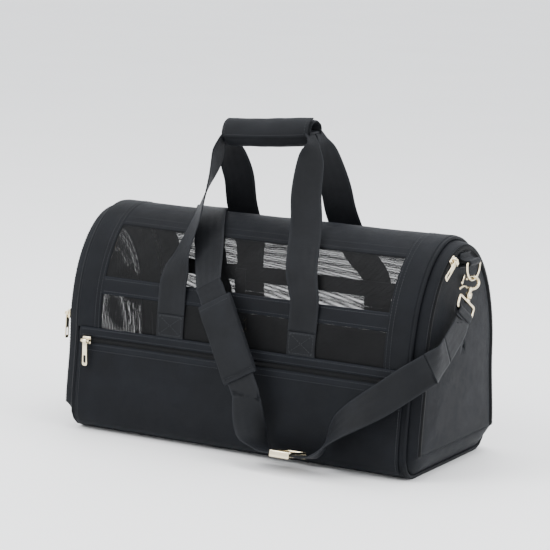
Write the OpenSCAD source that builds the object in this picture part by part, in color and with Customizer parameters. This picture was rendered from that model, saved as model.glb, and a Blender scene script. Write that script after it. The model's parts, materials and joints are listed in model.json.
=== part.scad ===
// Soft-sided pet carrier bag: an arched barrel of fabric and mesh with a zipped door at each end,
// a front pocket, two joined carrying handles and a padded shoulder strap on snap hooks.
// Millimetres. X runs along the bag, the front faces -Y, and the base stands on Z = 0.

/* [Bag] */
// Length from end panel to end panel
bag_l = 440; // [360:5:530]
// Width at the widest part of the base
bag_w = 208; // [170:2:250]
// Height to the top of the ridge
bag_h = 260; // [216:2:320]
// Height at which the sides start to arch over
spring_h = 120; // [100:2:146]
// How much each side leans in below that height
side_taper = 8; // [0:1:14]
// Radius of the two long bottom corners
corner_r = 26; // [12:1:34]

/* [Fabric] */
// Thickness of a padded fabric panel
panel_t = 3; // [2:0.5:5]
// Thickness of the mesh
mesh_t = 1.2; // [0.8:0.1:2]
// Thickness of the woven bands sewn over the mesh
band_t = 2; // [1.2:0.2:3]
// Gap left between two layers that are sewn together
sewn_gap = 0.2; // [0.1:0.05:0.4]

/* [Windows] */
// Height of the bottom edge of the mesh
window_z = 122; // [112:2:134]
// Height of the lower row of mesh
lower_window_h = 42; // [30:2:50]
// Width of the strip between the two rows
mid_strip_w = 19; // [14:1:26]
// How far below the ridge the top band reaches
ridge_drop = 20; // [14:1:24]
// Width of the bands beside the windows
end_band_w = 31; // [20:1:44]

/* [Ends] */
// How far each end panel stands out beyond its seam
end_bulge = 12; // [8:1:16]
// Distance of the door's zip from the outline of the bag
zip_inset = 12; // [11:0.5:16]
// Height of the door's hinge line
door_foot_z = 30; // [26:1:40]
// Width of one half of a zip, tape and teeth
zip_half_w = 3.5; // [3:0.5:4]
// Size of the piping along the end seams
piping_w = 4; // [3:0.5:6]
// Width of the solid frame around the mesh of the left door
door_frame_w = 16; // [12:1:24]

/* [Pocket] */
// Height of the middle of the pocket's zip
pocket_zip_z = 108; // [100:1:110]
// Distance of the pocket's ends from the ends of the bag
pocket_end_gap = 8; // [6:1:40]

/* [Handles] */
// Distance of each handle's legs from the middle of the bag
handle_x = 86; // [60:1:120]
// Width of the webbing of handles and shoulder strap
webbing_w = 36; // [25:1:40]
// Thickness of the webbing
webbing_t = 1.8; // [1.2:0.1:2.6]
// Height of the top of the grip
grip_top_z = 374; // [350:2:430]
// Length of the grip
grip_l = 116; // [100:2:160]
// Thickness of the padded grip
grip_d = 32; // [24:1:38]
// How far the grip hangs to one side
grip_shift = -16; // [-30:1:20]

/* [Shoulder strap] */
// Length of the shoulder pad
strap_pad_l = 94; // [80:2:160]
// Width of the shoulder pad
strap_pad_w = 46; // [46:1:70]
// Thickness of the shoulder pad
strap_pad_t = 9; // [6:1:12]
// Place along the bag where the strap crosses the ridge
strap_cross_x = -94; // [-140:1:-60]
// Gap between the strap and the front of the bag
strap_stand_off = 12; // [10:1:20]

/* [Hardware] */
// Radius of the wire of the D-rings
ring_wire_r = 1.5; // [1.2:0.1:2]
// Inner width of a D-ring
ring_w = 30; // [26:1:38]
// Radius of the wire of the hooks and loops
hook_wire_r = 1.6; // [1.4:0.1:2]
// Distance of each D-ring from the middle of its door
ring_offset = 0; // [0:1:8]
// Running clearance between moving metal pieces
play = 0.4; // [0.3:0.05:0.6]

/* [Inside] */
// Thickness of the stiff board under the floor
board_t = 3; // [2:0.5:5]
// Thickness of the removable padded mat
mat_t = 9; // [6:1:14]
// Radius of the spring wire that holds each end in shape
frame_wire_r = 1.6; // [1.2:0.1:2.5]

/* [Hidden] */

// Colours
cloth = "#2b2d31";
mesh_black = "#3a3c3f";
webbing = "#34363b";
gold = "#d9cfa8";
teeth = "#1d1e20";

// The cross-section. A place on it is a number u: -200 to -100 round the bottom corner, -100 to 0
// up the side, and 0 to 90 over the crown to the ridge. side is -1 at the front and 1 at the back.
half_l = bag_l / 2;
half_w = bag_w / 2;
side_y = half_w - side_taper;
side_rise = spring_h - corner_r;
crown_rise = bag_h - spring_h;
GRID = concat([for (u = [-200:20:-100]) u], [for (u = [-90:10:0]) u], [for (u = [7.5:7.5:90]) u]);
STEP_MIN = 1;
LAST_PLACE = 82.5;

function smooth(f) = f * f * (3 - 2 * f);
function lerp(a, b, f) = a + (b - a) * f;
function unit(v) = v / norm(v);
function corner_angle(u) = (u + 200) * 0.9;
function wall(u) =
    u <= -100 ? [half_w - corner_r + corner_r * sin(corner_angle(u)), corner_r * (1 - cos(corner_angle(u)))]
    : u <= 0 ? [half_w - side_taper * smooth(u / 100 + 1), lerp(corner_r, spring_h, u / 100 + 1)]
    : [side_y * cos(u), spring_h + crown_rise * sin(u)];
function wall_normal(u) =
    u <= -100 ? [sin(corner_angle(u)), -cos(corner_angle(u))]
    : u <= 0 ? unit([side_rise, side_taper * 6 * (u / 100 + 1) * -u / 100])
    : unit([crown_rise * cos(u), side_y * sin(u)]);
function place_at(z) =
    z < corner_r ? -200 + acos(1 - z / corner_r) / 0.9
    : z < spring_h ? -100 + 100 * (z - corner_r) / side_rise
    : asin(min(1, (z - spring_h) / crown_rise));
function at(u, d) = wall(u) + d * wall_normal(u);
function wall_y(z) = wall(place_at(z))[0];
function places(u0, u1) = concat([u0], [for (g = GRID) if (g > u0 + STEP_MIN && g < u1 - STEP_MIN) g], [u1]);
function flip(points) = [for (i = [len(points) - 1:-1:0]) points[i]];
function run(side, u0, u1, d) = [for (u = places(u0, u1)) let (p = at(u, d)) [side * p[0], p[1]]];

// Extrudes a Y-Z outline along X, from x0 to x1
module along_x(x0, x1) {
    translate([x0, 0, 0]) rotate([90, 0, 90]) linear_extrude(x1 - x0) children();
}

// A strip of the wall between two heights, d0 to d1 outside the bag's surface
module wall_strip(side, z0, z1, d0, d1, x0, x1) {
    u0 = place_at(z0);
    u1 = place_at(z1);
    along_x(x0, x1) polygon(concat(run(side, u0, u1, d1), flip(run(side, u0, u1, d0))));
}

// A strip that runs from height z0 at the front, over the ridge, to z0 at the back
module arch_strip(z0, d0, d1, x0, x1) {
    u0 = place_at(z0);
    over = function (d) concat(run(-1, u0, 90, d), flip(run(1, u0, LAST_PLACE, d)));
    along_x(x0, x1) polygon(concat(over(d1), flip(over(d0))));
}

// The whole outline of the section, d outside the surface
module section(d) {
    polygon(concat(run(-1, -200, 90, d), flip(run(1, -200, LAST_PLACE, d))));
}

// The barrel of the bag, between its two end seams
barrel_x = half_l - piping_w;
mid_strip_z = window_z + lower_window_h;
upper_window_z = mid_strip_z + mid_strip_w;
ridge_band_z = bag_h - ridge_drop;
window_x = barrel_x - end_band_w;

module base_panel() {
    flat_y = half_w - corner_r;
    color(cloth) translate([-barrel_x, -flat_y, 0]) cube([2 * barrel_x, 2 * flat_y, panel_t]);
}

module lower_panel(side) {
    color(cloth) wall_strip(side, 0, window_z, -panel_t, 0, -barrel_x, barrel_x);
}

module window_row(side, z0, z1) {
    color(mesh_black) wall_strip(side, z0, z1, -mesh_t, 0, -window_x, window_x);
}

module mid_strip(side) {
    color(webbing) wall_strip(side, mid_strip_z, upper_window_z, -band_t / 2, band_t / 2, -window_x, window_x);
}

module ridge_band() {
    color(cloth) arch_strip(ridge_band_z, -panel_t, 0, -window_x, window_x);
}

module end_band(end) {
    x0 = end > 0 ? window_x : -barrel_x;
    color(cloth) arch_strip(window_z, -panel_t, 0, x0, x0 + end_band_w);
}

module rim_piping() {
    color(cloth) for (x = [-half_l, barrel_x])
        along_x(x, x + piping_w) difference() {
            section(0);
            section(-piping_w);
        }
}

module frame_wires() {
    wire_gap = 1;
    inset = piping_w + wire_gap;
    wire_w = 2 * frame_wire_r;
    gap_x = panel_t + wire_gap;
    u0 = place_at(corner_r);
    over = function (d) concat(run(-1, u0, 90, d), flip(run(1, u0, LAST_PLACE, d)));
    color("dimgray") for (x = [-half_l + gap_x, half_l - gap_x - wire_w])
        along_x(x, x + wire_w) polygon(concat(over(-inset), flip(over(-inset - wire_w))));
}

// The ends. An arch is the part of the section above foot, inset from the outline of the bag.
function arch(inset, foot) = let (u0 = place_at(foot))
    concat(run(-1, u0, 90, -inset), flip(run(1, u0, LAST_PLACE, -inset)));

// Puts its children at one end of the bag: x counts outwards from the end seam. The left end is the
// right end turned half a turn about Z, as the two end panels are cut from one pattern.
module on_end(end) {
    rotate([0, 0, end > 0 ? 0 : 180]) translate([half_l, 0, 0]) children();
}

zip_play = 0.4;
border_inset = zip_inset - zip_half_w - zip_play;
border_edge = 1.6;
BORDER_STEPS = 4;
module end_border(end) {
    step_x = (end_bulge + panel_t) / BORDER_STEPS;
    step_d = (border_inset - border_edge - piping_w - sewn_gap) / (BORDER_STEPS - 1);
    color(cloth) on_end(end) {
        for (k = [0:BORDER_STEPS - 1]) {
            x0 = -panel_t + k * step_x;
            along_x(x0, x0 + step_x) difference() {
                section(-piping_w - sewn_gap - k * step_d);
                section(-border_inset);
            }
        }
        along_x(end_bulge - panel_t, end_bulge) difference() {
            section(-border_inset + border_edge / 2);
            polygon(arch(border_inset, door_foot_z - zip_play));
        }
    }
}

module zip_ring(end, inset0, inset1) {
    color(teeth) on_end(end) along_x(end_bulge + zip_x0, end_bulge + zip_x1) difference() {
        polygon(arch(inset0, door_foot_z));
        polygon(arch(inset1, door_foot_z - 1));
    }
}

zip_x0 = -1.2;
zip_x1 = 0.6;
module border_zips() {
    for (end = [1, -1]) zip_ring(end, zip_inset - zip_half_w, zip_inset - zip_play / 2);
}

door_inset = zip_inset + zip_half_w + zip_play;
module door_zip(end) {
    zip_ring(end, zip_inset + zip_play / 2, zip_inset + zip_half_w);
}

module door_right() {
    color(cloth) on_end(1) along_x(end_bulge - panel_t, end_bulge) polygon(arch(door_inset, door_foot_z));
}

window_inset = door_inset + door_frame_w;
module door_left() {
    color(cloth) on_end(-1) along_x(end_bulge - panel_t, end_bulge) difference() {
        polygon(arch(door_inset, door_foot_z));
        polygon(arch(window_inset, door_foot_z + door_frame_w));
    }
}

module door_mesh_left() {
    color(mesh_black) on_end(-1) along_x(end_bulge - panel_t / 2 - mesh_t / 2, end_bulge - panel_t / 2 + mesh_t / 2)
        polygon(arch(window_inset, door_foot_z + door_frame_w));
}

// A zip's slider stands on z = 0 and runs along x; its pull hangs towards -y from a bar at bar_z.
slider_l = 11;
slider_w = 9;
slider_t = 3;
bar_r = 0.9;
bar_z = 6.2;
pull_l = 30;
pull_w = 7;
pull_t = 1.4;
eye_r = 2.6;

// turn is the angle of the bar from the zip's own direction
module slider_body(turn) {
    lug_t = 1.4;
    lug_x = pull_w / 2 + play;
    color(gold) {
        translate([-slider_l / 2, -slider_w / 2, 0]) cube([slider_l, slider_w, slider_t]);
        rotate([0, 0, turn]) {
            for (x = [-lug_x - lug_t, lug_x])
                translate([x, -1.5, slider_t - 1]) cube([lug_t, 3, bar_z + bar_r - slider_t + 1]);
            translate([-lug_x - 0.5, 0, bar_z]) rotate([0, 90, 0])
                cylinder(h = 2 * lug_x + 1, r = bar_r, $fn = 24);
        }
    }
}

module pull_tab(turn) {
    hole_w = 3.4;
    hole_l = 9;
    hole_margin = 3;
    color(gold) rotate([0, 0, turn]) difference() {
        union() {
            translate([-pull_w / 2, 0, bar_z]) rotate([0, 90, 0]) cylinder(h = pull_w, r = eye_r, $fn = 32);
            translate([-pull_w / 2, -pull_l, bar_z - pull_t / 2]) cube([pull_w, pull_l, pull_t]);
        }
        translate([-pull_w, 0, bar_z]) rotate([0, 90, 0]) cylinder(h = 2 * pull_w, r = bar_r + play, $fn = 24);
        translate([-hole_w / 2, -pull_l + hole_margin, bar_z - pull_t]) cube([hole_w, hole_l, 2 * pull_t]);
    }
}

// A door's slider stands on the arch at place u, with x down along the zip and z outwards
slider_lift = 0.3;
door_pull_turn = 90;
module at_door_slider(end, u) {
    p = at(u, -zip_inset);
    n = wall_normal(u);
    on_end(end) translate([end_bulge + zip_x1 + slider_lift, -end * p[0], p[1]])
        rotate([end * (90 - atan2(n[1], n[0])), 0, 0]) rotate([0, 90, 0])
        rotate([0, 0, -90 * end]) children();
}

right_slider_place = 66;
left_slider_place = place_at(spring_h + 14);
module slider_right() { at_door_slider(1, right_slider_place) slider_body(door_pull_turn); }
module pull_right() { at_door_slider(1, right_slider_place) pull_tab(door_pull_turn); }
module slider_left() { at_door_slider(-1, left_slider_place) slider_body(door_pull_turn); }
module pull_left() { at_door_slider(-1, left_slider_place) pull_tab(door_pull_turn); }

// The front pocket
pocket_x = half_l - pocket_end_gap;
pocket_t = 2;
welt_z = pocket_zip_z + zip_half_w;
pocket_hem_z = pocket_zip_z - zip_half_w;

module pocket_panel() {
    pocket_foot_z = 10;
    color(cloth) wall_strip(-1, pocket_foot_z, pocket_hem_z, sewn_gap, pocket_t, -pocket_x, pocket_x);
}

module zip_welt() {
    color(webbing) wall_strip(-1, welt_z, window_z, sewn_gap, pocket_t, -pocket_x, pocket_x);
}

module pocket_zip() {
    chain_t = 1.4;
    color(teeth) wall_strip(-1, pocket_hem_z, welt_z, sewn_gap, chain_t, -pocket_x, pocket_x);
}

pocket_slider_x = -pocket_x + 12;
module at_pocket_slider() {
    slider_d = 2.4;
    translate([pocket_slider_x, -wall_y(pocket_zip_z) - slider_d, pocket_zip_z]) rotate([90, 0, 0]) children();
}
module pocket_slider() { at_pocket_slider() slider_body(0); }
module pocket_pull() { at_pocket_slider() pull_tab(0); }

// Inside
mat_z = panel_t + board_t + 2 * sewn_gap;
mat_x = half_l - 12;
mat_y = half_w - corner_r + 2;
module base_board() {
    board_x = half_l - 10;
    board_y = half_w - corner_r;
    color("#3d3527") translate([-board_x, -board_y, panel_t + sewn_gap])
        cube([2 * board_x, 2 * board_y, board_t]);
}

module floor_mat() {
    color("#45474b") translate([-mat_x, -mat_y, mat_z]) cube([2 * mat_x, 2 * mat_y, mat_t]);
}

tether_x = -100;
tether_w = 15;
tether_l = 62;
tether_t = 1.6;
tether_top_z = mid_strip_z + 14;
tether_gap = 8;
tether_y = wall_y(tether_top_z) - tether_gap;
tether_eye_z = tether_top_z - tether_l;
module tether_strap() {
    color(webbing) {
        translate([tether_x - tether_w / 2, tether_y - tether_t / 2, tether_eye_z + 4])
            cube([tether_w, tether_t, tether_l - 4]);
        translate([tether_x - tether_w / 2, tether_y - tether_t / 2, tether_top_z - tether_t])
            cube([tether_w, tether_gap - band_t / 2 - sewn_gap, tether_t]);
        translate([tether_x - tether_w / 2, tether_y, tether_eye_z]) rotate([0, 90, 0]) difference() {
            cylinder(h = tether_w, r = 4.6, $fn = 32);
            translate([0, 0, -1]) cylinder(h = tether_w + 2, r = ring_wire_r + play, $fn = 32);
        }
    }
}

module tether_clip() {
    clip_r = 6;
    side_x = tether_w / 2 + 3;
    side_l = 13;
    side_w = 2 * ring_wire_r;
    swivel_l = 9;
    foot_z = tether_eye_z - side_l;
    color(gold) {
        translate([tether_x - side_x, tether_y, tether_eye_z]) rotate([0, 90, 0])
            cylinder(h = 2 * side_x, r = ring_wire_r, $fn = 24);
        for (x = [-side_x, side_x])
            translate([tether_x + x - side_w / 2, tether_y - side_w / 2, foot_z - side_w / 2])
                cube([side_w, side_w, side_l + 1.5 * side_w]);
        translate([tether_x - side_x, tether_y - side_w / 2, foot_z - side_w / 2])
            cube([2 * side_x, side_w, side_w]);
        translate([tether_x, tether_y, foot_z - swivel_l]) cylinder(h = swivel_l, r = 2.6, $fn = 24);
        translate([tether_x, tether_y, foot_z - swivel_l - clip_r]) rotate([90, 0, 0])
            rotate([0, 0, -20]) rotate_extrude(angle = 290, $fn = 36)
                translate([clip_r, 0]) circle(r = ring_wire_r, $fn = 20);
    }
}

// Shoulder strap hardware at one end: a sewn tab, a D-ring that swings in it, a snap hook on the ring
tab_w = ring_w - 4;
tab_l = 8;
tab_gap = 0.8;
tab_drop = crown_rise * pow(tab_w / 2 / side_y, 2) / 2;
ring_bar_z = bag_h - door_inset - tab_l - tab_drop - tab_gap;
ring_bar_x = 12.6;
ring_h = 20;
tab_tube_r = ring_wire_r + play + 1.4;
ring_foot_z = ring_bar_z - ring_h;
claw_r = 7.2;
claw_drop = claw_r - hook_wire_r - ring_wire_r - 2 * play;
claw_turn = 22;
hook_lean = 30;

module at_ring(end) {
    on_end(end) translate([end_bulge + ring_bar_x, ring_offset, ring_bar_z]) children();
}
module at_hook(end) { at_ring(end) translate([0, 0, -ring_h]) rotate([-hook_lean, 0, 0]) children(); }

module ring_tab(end) {
    color(webbing) at_ring(end) {
        translate([-ring_bar_x, -tab_w / 2, 0]) cube([webbing_t + 0.6, tab_w, tab_l]);
        rotate([-90, 0, 0]) translate([0, 0, -tab_w / 2]) difference() {
            union() {
                cylinder(h = tab_w, r = tab_tube_r, $fn = 32);
                translate([-ring_bar_x, -tab_tube_r, 0]) cube([ring_bar_x, tab_tube_r, tab_w]);
            }
            translate([0, 0, -1]) cylinder(h = tab_w + 2, r = ring_wire_r + play, $fn = 32);
        }
    }
}

module d_ring(end) {
    leg_y = ring_w / 2 + ring_wire_r;
    bow_r = leg_y;
    leg_l = ring_h - bow_r;
    color(gold) at_ring(end) {
        rotate([90, 0, 0]) translate([0, 0, -leg_y]) cylinder(h = 2 * leg_y, r = ring_wire_r, $fn = 24);
        for (y = [-leg_y, leg_y])
            translate([0, y, -leg_l]) cylinder(h = leg_l, r = ring_wire_r, $fn = 24);
        for (y = [-leg_y, leg_y]) translate([0, y, 0]) sphere(r = ring_wire_r, $fn = 24);
        translate([0, 0, -leg_l]) rotate([0, 90, 0]) rotate([0, 0, -90])
            rotate_extrude(angle = 180, $fn = 48) translate([bow_r, 0]) circle(r = ring_wire_r, $fn = 20);
    }
}

shank_z = -claw_drop - claw_r - 6;
barrel_r = 3.6;
barrel_l = 6;
module snap_hook(end) {
    open_from = 140;
    color(gold) at_hook(end) {
        translate([0, 0, -claw_drop]) rotate([0, 0, claw_turn]) rotate([90, 0, 0]) rotate([0, 0, open_from + 90])
            rotate_extrude(angle = 292, $fn = 48) translate([claw_r, 0]) circle(r = hook_wire_r, $fn = 20);
        translate([0, 0, shank_z]) cylinder(h = 6, r = 2.6, $fn = 24);
        translate([0, 0, shank_z - barrel_l]) difference() {
            cylinder(h = barrel_l, r = barrel_r, $fn = 32);
            translate([0, 0, -1]) cylinder(h = barrel_l, r = 2 + play / 2, $fn = 24);
        }
    }
}

module hook_gate(end) {
    color(gold) at_hook(end) translate([0, 0, -claw_drop]) rotate([0, 0, claw_turn])
        translate([-claw_r - hook_wire_r - play - 1.2, 0, 0]) {
        translate([0, 0, -5]) cylinder(h = 12, r = 1.1, $fn = 20);
        translate([-2.2, -1.2, -4]) cube([2.2, 2.4, 2.2]);
    }
}

loop_bar_z = shank_z - barrel_l - 16;
loop_y = webbing_w / 2 + 3;
module swivel_loop(end) {
    shoulder_z = shank_z - barrel_l - 3;
    color(gold) at_hook(end) {
        translate([0, 0, shoulder_z]) cylinder(h = barrel_l, r = 2, $fn = 24);
        for (z = [shoulder_z, loop_bar_z])
            translate([0, loop_y, z]) rotate([90, 0, 0]) cylinder(h = 2 * loop_y, r = hook_wire_r, $fn = 24);
        for (y = [-loop_y, loop_y]) {
            translate([0, y, loop_bar_z]) cylinder(h = shoulder_z - loop_bar_z, r = hook_wire_r, $fn = 24);
            for (z = [shoulder_z, loop_bar_z]) translate([0, y, z]) sphere(r = hook_wire_r, $fn = 24);
        }
    }
}

// A flat strap swept along a route. Each stop is [place, direction of its width, width].
RIBBON_STEPS = 3;
function spline(a, b, c, d, t) =
    0.5 * (2 * b + (c - a) * t + (2 * a - 5 * b + 4 * c - d) * t * t + (3 * b - a - 3 * c + d) * t * t * t);
function stop_at(route, i) = route[max(0, min(len(route) - 1, i))];
function along(route, k, i, t) =
    spline(stop_at(route, i - 1)[k], route[i][k], stop_at(route, i + 1)[k], stop_at(route, i + 2)[k], t);
function fine(route) = [
    for (i = [0:len(route) - 2], s = [0:RIBBON_STEPS - 1]) let (t = s / RIBBON_STEPS)
        [along(route, 0, i, t), along(route, 1, i, t), along(route, 2, i, t)],
    route[len(route) - 1]
];

module ribbon(route, thick) {
    stops = fine(route);
    n = len(stops);
    heading = [for (i = [0:n - 1]) unit(stop_at(stops, i + 1)[0] - stop_at(stops, i - 1)[0])];
    face = [for (i = [0:n - 1]) unit(cross(heading[i], stops[i][1]))];
    across = [for (i = [0:n - 1]) cross(face[i], heading[i])];
    corners = [[1, 1], [-1, 1], [-1, -1], [1, -1]];
    points = [for (i = [0:n - 1], c = corners)
        stops[i][0] + across[i] * c[0] * stops[i][2] / 2 + face[i] * c[1] * thick / 2];
    sides = [for (i = [0:n - 2], k = [0:3]) let (a = 4 * i + k, b = 4 * i + (k + 1) % 4) each
        k == 2 ? [[a, b, a + 4], [b, b + 4, a + 4]] : [[a, b, b + 4], [a, b + 4, a + 4]]];
    last = 4 * n - 4;
    polyhedron(points, concat(sides, [[3, 2, 1, 0], [last, last + 1, last + 2, last + 3]]));
}

// A place d outside the wall at height z
function by_wall(x, side, z, d) = let (p = at(place_at(z), d)) [x, side * p[0], p[1]];

// Handles
grip_z = grip_top_z - grip_d / 2;
base_top_z = window_z + 28;
base_shift = -5;
leg_gap = 1;
sewn_d = sewn_gap + webbing_t / 2;
module handle_bases(side) {
    color(webbing) for (x = [base_shift - handle_x, base_shift + handle_x])
        wall_strip(side, window_z + leg_gap, base_top_z, sewn_gap, sewn_gap + webbing_t,
            x - webbing_w / 2, x + webbing_w / 2);
}

module handle_leg(side, end) {
    foot_x = base_shift + end * handle_x;
    top_x = grip_shift + end * (grip_l / 2 + webbing_t / 2 + sewn_gap);
    leave_z = bag_h - 42;
    free_d = 11;
    entry_y = side * 10.6;
    entry_w = 17;
    mid_z = (bag_h + grip_z) / 2;
    twist = side < 0 && end < 0 ? -1 : 1;
    function turned(a) = [cos(a), twist * sin(a), 0];
    color(webbing) ribbon([
        [by_wall(foot_x, side, base_top_z + leg_gap, sewn_d), turned(0), webbing_w],
        [by_wall(foot_x, side, upper_window_z, free_d / 2), turned(0), webbing_w],
        [by_wall(lerp(foot_x, top_x, 0.3), side, leave_z, free_d), turned(22), webbing_w],
        [[lerp(foot_x, top_x, 0.75), side * side_y * 0.36, mid_z - 12], turned(60), webbing_w * 0.85],
        [[top_x + end * 4, entry_y * 1.2, grip_z - 22], turned(80), entry_w + 4],
        [[top_x, entry_y, grip_z - 2], turned(90), entry_w],
    ], webbing_t);
}

core_w = 20;
core_h = 14;
wrap_gap = 0.4;
flap_t = 2;
module handle_grip() {
    color(webbing) translate([grip_shift - grip_l / 2, -core_w / 2, grip_z - core_h / 2])
        cube([grip_l, core_w, core_h]);
}

module grip_wrap() {
    hole_w = core_w + 2 * sewn_gap;
    hole_h = core_h + 2 * sewn_gap;
    color(cloth) along_x(grip_shift - grip_l / 2, grip_shift + grip_l / 2) difference() {
        translate([0, grip_z]) circle(d = grip_d, $fn = 64);
        translate([-hole_w / 2, grip_z - hole_h / 2]) square([hole_w, hole_h]);
    }
}

flap_from = 100;
flap_to = 190;
module wrap_flap() {
    flap_r = grip_d / 2 + wrap_gap;
    edge = function (r) [for (a = [flap_from:6:flap_to]) [r * cos(a), grip_z + r * sin(a)]];
    color(cloth) along_x(grip_shift - grip_l / 2, grip_shift + grip_l / 2)
        polygon(concat(edge(flap_r + flap_t), flip(edge(flap_r))));
}

// Shoulder strap. Its straight part, in the pad, has its own frame: z up along the strap, x across it.
pad_d = strap_stand_off + strap_pad_t / 2;
pad_tilt = -29;
pad_lean = -9;
pad_z = spring_h + 14;
pad_x = -3;
pad_place = by_wall(pad_x, -1, pad_z, pad_d);
pad_travel = 10;
pad_end = strap_pad_l / 2 + pad_travel + 2;
function on_pad(s) = pad_place
    + s * [cos(pad_lean) * sin(pad_tilt), -sin(pad_lean), cos(pad_lean) * cos(pad_tilt)];
pad_across = [cos(pad_tilt), 0, -sin(pad_tilt)];
split_y = side_y + 1;
end_strap_x = end_bulge + ring_bar_x;
split_gap = 0.6;
flat_d = sewn_gap + webbing_t / 2 + 1.3;
adjuster_place = [half_l * 0.4, -half_w - 25, 19];
adjuster_lean = -12;
adjuster_across = [0, -cos(adjuster_lean), -sin(adjuster_lean)];

// The route from the left corner, up the back, over the ridge, down the front to the right corner
back_route = [
    [[-half_l - end_strap_x + 2, split_y + split_gap, spring_h + 4], [0, 0.4, 0.9], webbing_w],
    [[-half_l - 6, half_w + 9, spring_h - 8], [0.25, 0.25, 0.9], webbing_w],
    [[-half_l + 18, half_w + 14, 90], [0.55, 0, 0.85], webbing_w],
    [[-half_l + 50, half_w + 15, 76], [0.1, 0.3, 0.95], webbing_w],
    [by_wall(-half_l + 78, 1, 110, 14), [-0.85, 0, 0.5], webbing_w],
    [by_wall(strap_cross_x - 53, 1, spring_h + 40, 10), [-0.95, 0, 0.2], webbing_w],
    [by_wall(strap_cross_x - 49, 1, spring_h + 78, 5), [-0.95, 0, 0], webbing_w],
];
crown_slant = 0.5;
crown_drift = 0.9;
function crown_stop(turn) =
    let (side = turn > 0 ? 1 : -1, u = 90 - abs(turn), p = at(u, flat_d), n = wall_normal(u))
    let (up = [0, side * n[0], n[1]], ahead = unit([crown_slant, -n[1], side * n[0]]))
    [[strap_cross_x - turn * crown_drift, side * p[0], p[1]], cross(ahead, up), webbing_w];
crown_route = [for (turn = [52:-13:-39]) crown_stop(turn)];
front_route = [
    [on_pad(pad_end + 8), -pad_across, webbing_w],
    [on_pad(pad_end), -pad_across, webbing_w],
    [on_pad(-pad_end), -pad_across, webbing_w],
    [on_pad(-pad_end - 8), -pad_across, webbing_w],
    [adjuster_place + [-52, 4, 26], [-0.7, -0.5, -0.5], webbing_w],
    [adjuster_place + [-39, 1, 7], [-0.2, -1, 0.1], webbing_w],
    [adjuster_place + [-27, 0, 0], adjuster_across, webbing_w],
    [adjuster_place + [-13, 0, 0], adjuster_across, webbing_w],
    [adjuster_place + [13, 0, 0], adjuster_across, webbing_w],
    [adjuster_place + [27, 0, 0], adjuster_across, webbing_w],
    [adjuster_place + [40, 1, 10], [0.2, -1, 0.1], webbing_w],
    [adjuster_place + [60, 6, 40], [0.5, -0.6, -0.5], webbing_w],
    [[half_l - 26, -half_w - 12, 92], [0.55, -0.1, -0.85], webbing_w],
    [[half_l + 6, -half_w - 9, spring_h - 4], [0.4, 0.1, -0.9], webbing_w],
    [[half_l + end_strap_x - 4, -split_y - 3 * split_gap, spring_h + 9], [0.42, 0.42, -0.8], webbing_w],
];
module shoulder_strap() {
    color(webbing) ribbon(concat(back_route, crown_route, front_route), webbing_t);
}

// The stretch of strap that lies on a door, from the corner to its hook
loop_reach = -loop_bar_z + hook_wire_r + 6;
loop_foot = [0, -sin(hook_lean), -cos(hook_lean)];
function on_door(v) = [0, -v[2], v[1]] / norm(v);
module strap_end(end) {
    ring_foot = [end_strap_x, ring_offset, ring_foot_z];
    corner = [end_strap_x - 1, -split_y, spring_h + 10];
    lead = ring_foot + loop_foot * (loop_reach + 12);
    bend = lerp(corner, lead, 0.5) + [0.5, 3, -3];
    color(webbing) on_end(end) ribbon([
        [corner, [-0.35, -0.45, 0.8], webbing_w],
        [bend, on_door(lead - corner), webbing_w],
        [lead, on_door(-loop_foot), webbing_w],
        [ring_foot + loop_foot * loop_reach, on_door(-loop_foot), webbing_w],
    ], webbing_t);
}

module at_pad() {
    translate(pad_place) rotate([pad_lean, pad_tilt, 0]) children();
}

module strap_pad() {
    slot_w = webbing_w + 1.2;
    slot_t = webbing_t + 1.2;
    color("#3a3c42") at_pad() difference() {
        translate([-strap_pad_w / 2, -strap_pad_t / 2, -strap_pad_l / 2])
            cube([strap_pad_w, strap_pad_t, strap_pad_l]);
        translate([-slot_w / 2, -slot_t / 2, -strap_pad_l]) cube([slot_w, slot_t, 2 * strap_pad_l]);
    }
}

module strap_adjuster() {
    bar = 1.3;
    side_y0 = webbing_w / 2 + bar + play;
    over_z = webbing_t / 2 + bar + play;
    color(gold) translate(adjuster_place) rotate([adjuster_lean, 0, 0]) {
        for (x = [-11, 11]) translate([x, side_y0, over_z]) rotate([90, 0, 0])
            cylinder(h = 2 * side_y0, r = bar, $fn = 20);
        translate([0, side_y0, -over_z]) rotate([90, 0, 0]) cylinder(h = 2 * side_y0, r = bar, $fn = 20);
        for (y = [-side_y0, side_y0])
            translate([-11 - bar, y - bar, -over_z - bar]) cube([22 + 2 * bar, 2 * bar, 2 * (over_z + bar)]);
    }
}

base_panel();
lower_panel(-1);  // front_lower_panel
lower_panel(1);  // back_lower_panel
window_row(-1, window_z, mid_strip_z);  // front_window_lower
window_row(-1, upper_window_z, ridge_band_z);  // front_window_upper
window_row(1, window_z, mid_strip_z);  // back_window_lower
window_row(1, upper_window_z, ridge_band_z);  // back_window_upper
mid_strip(-1);  // front_mid_strip
mid_strip(1);  // back_mid_strip
ridge_band();
end_band(1);  // end_band_right
end_band(-1);  // end_band_left
end_border(1);  // end_border_right
end_border(-1);  // end_border_left
rim_piping();
frame_wires();
border_zips();
base_board();
floor_mat();
tether_strap();
tether_clip();
pocket_panel();
zip_welt();
pocket_zip();
pocket_slider();
pocket_pull();
door_right();
door_zip(1);  // door_zip_right
slider_right();
pull_right();
ring_tab(1);  // ring_tab_right
door_left();
door_mesh_left();
door_zip(-1);  // door_zip_left
slider_left();
pull_left();
ring_tab(-1);  // ring_tab_left
d_ring(1);  // d_ring_right
snap_hook(1);  // snap_hook_right
hook_gate(1);  // hook_gate_right
swivel_loop(1);  // swivel_loop_right
strap_end(1);  // strap_end_right
d_ring(-1);  // d_ring_left
snap_hook(-1);  // snap_hook_left
hook_gate(-1);  // hook_gate_left
swivel_loop(-1);  // swivel_loop_left
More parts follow.
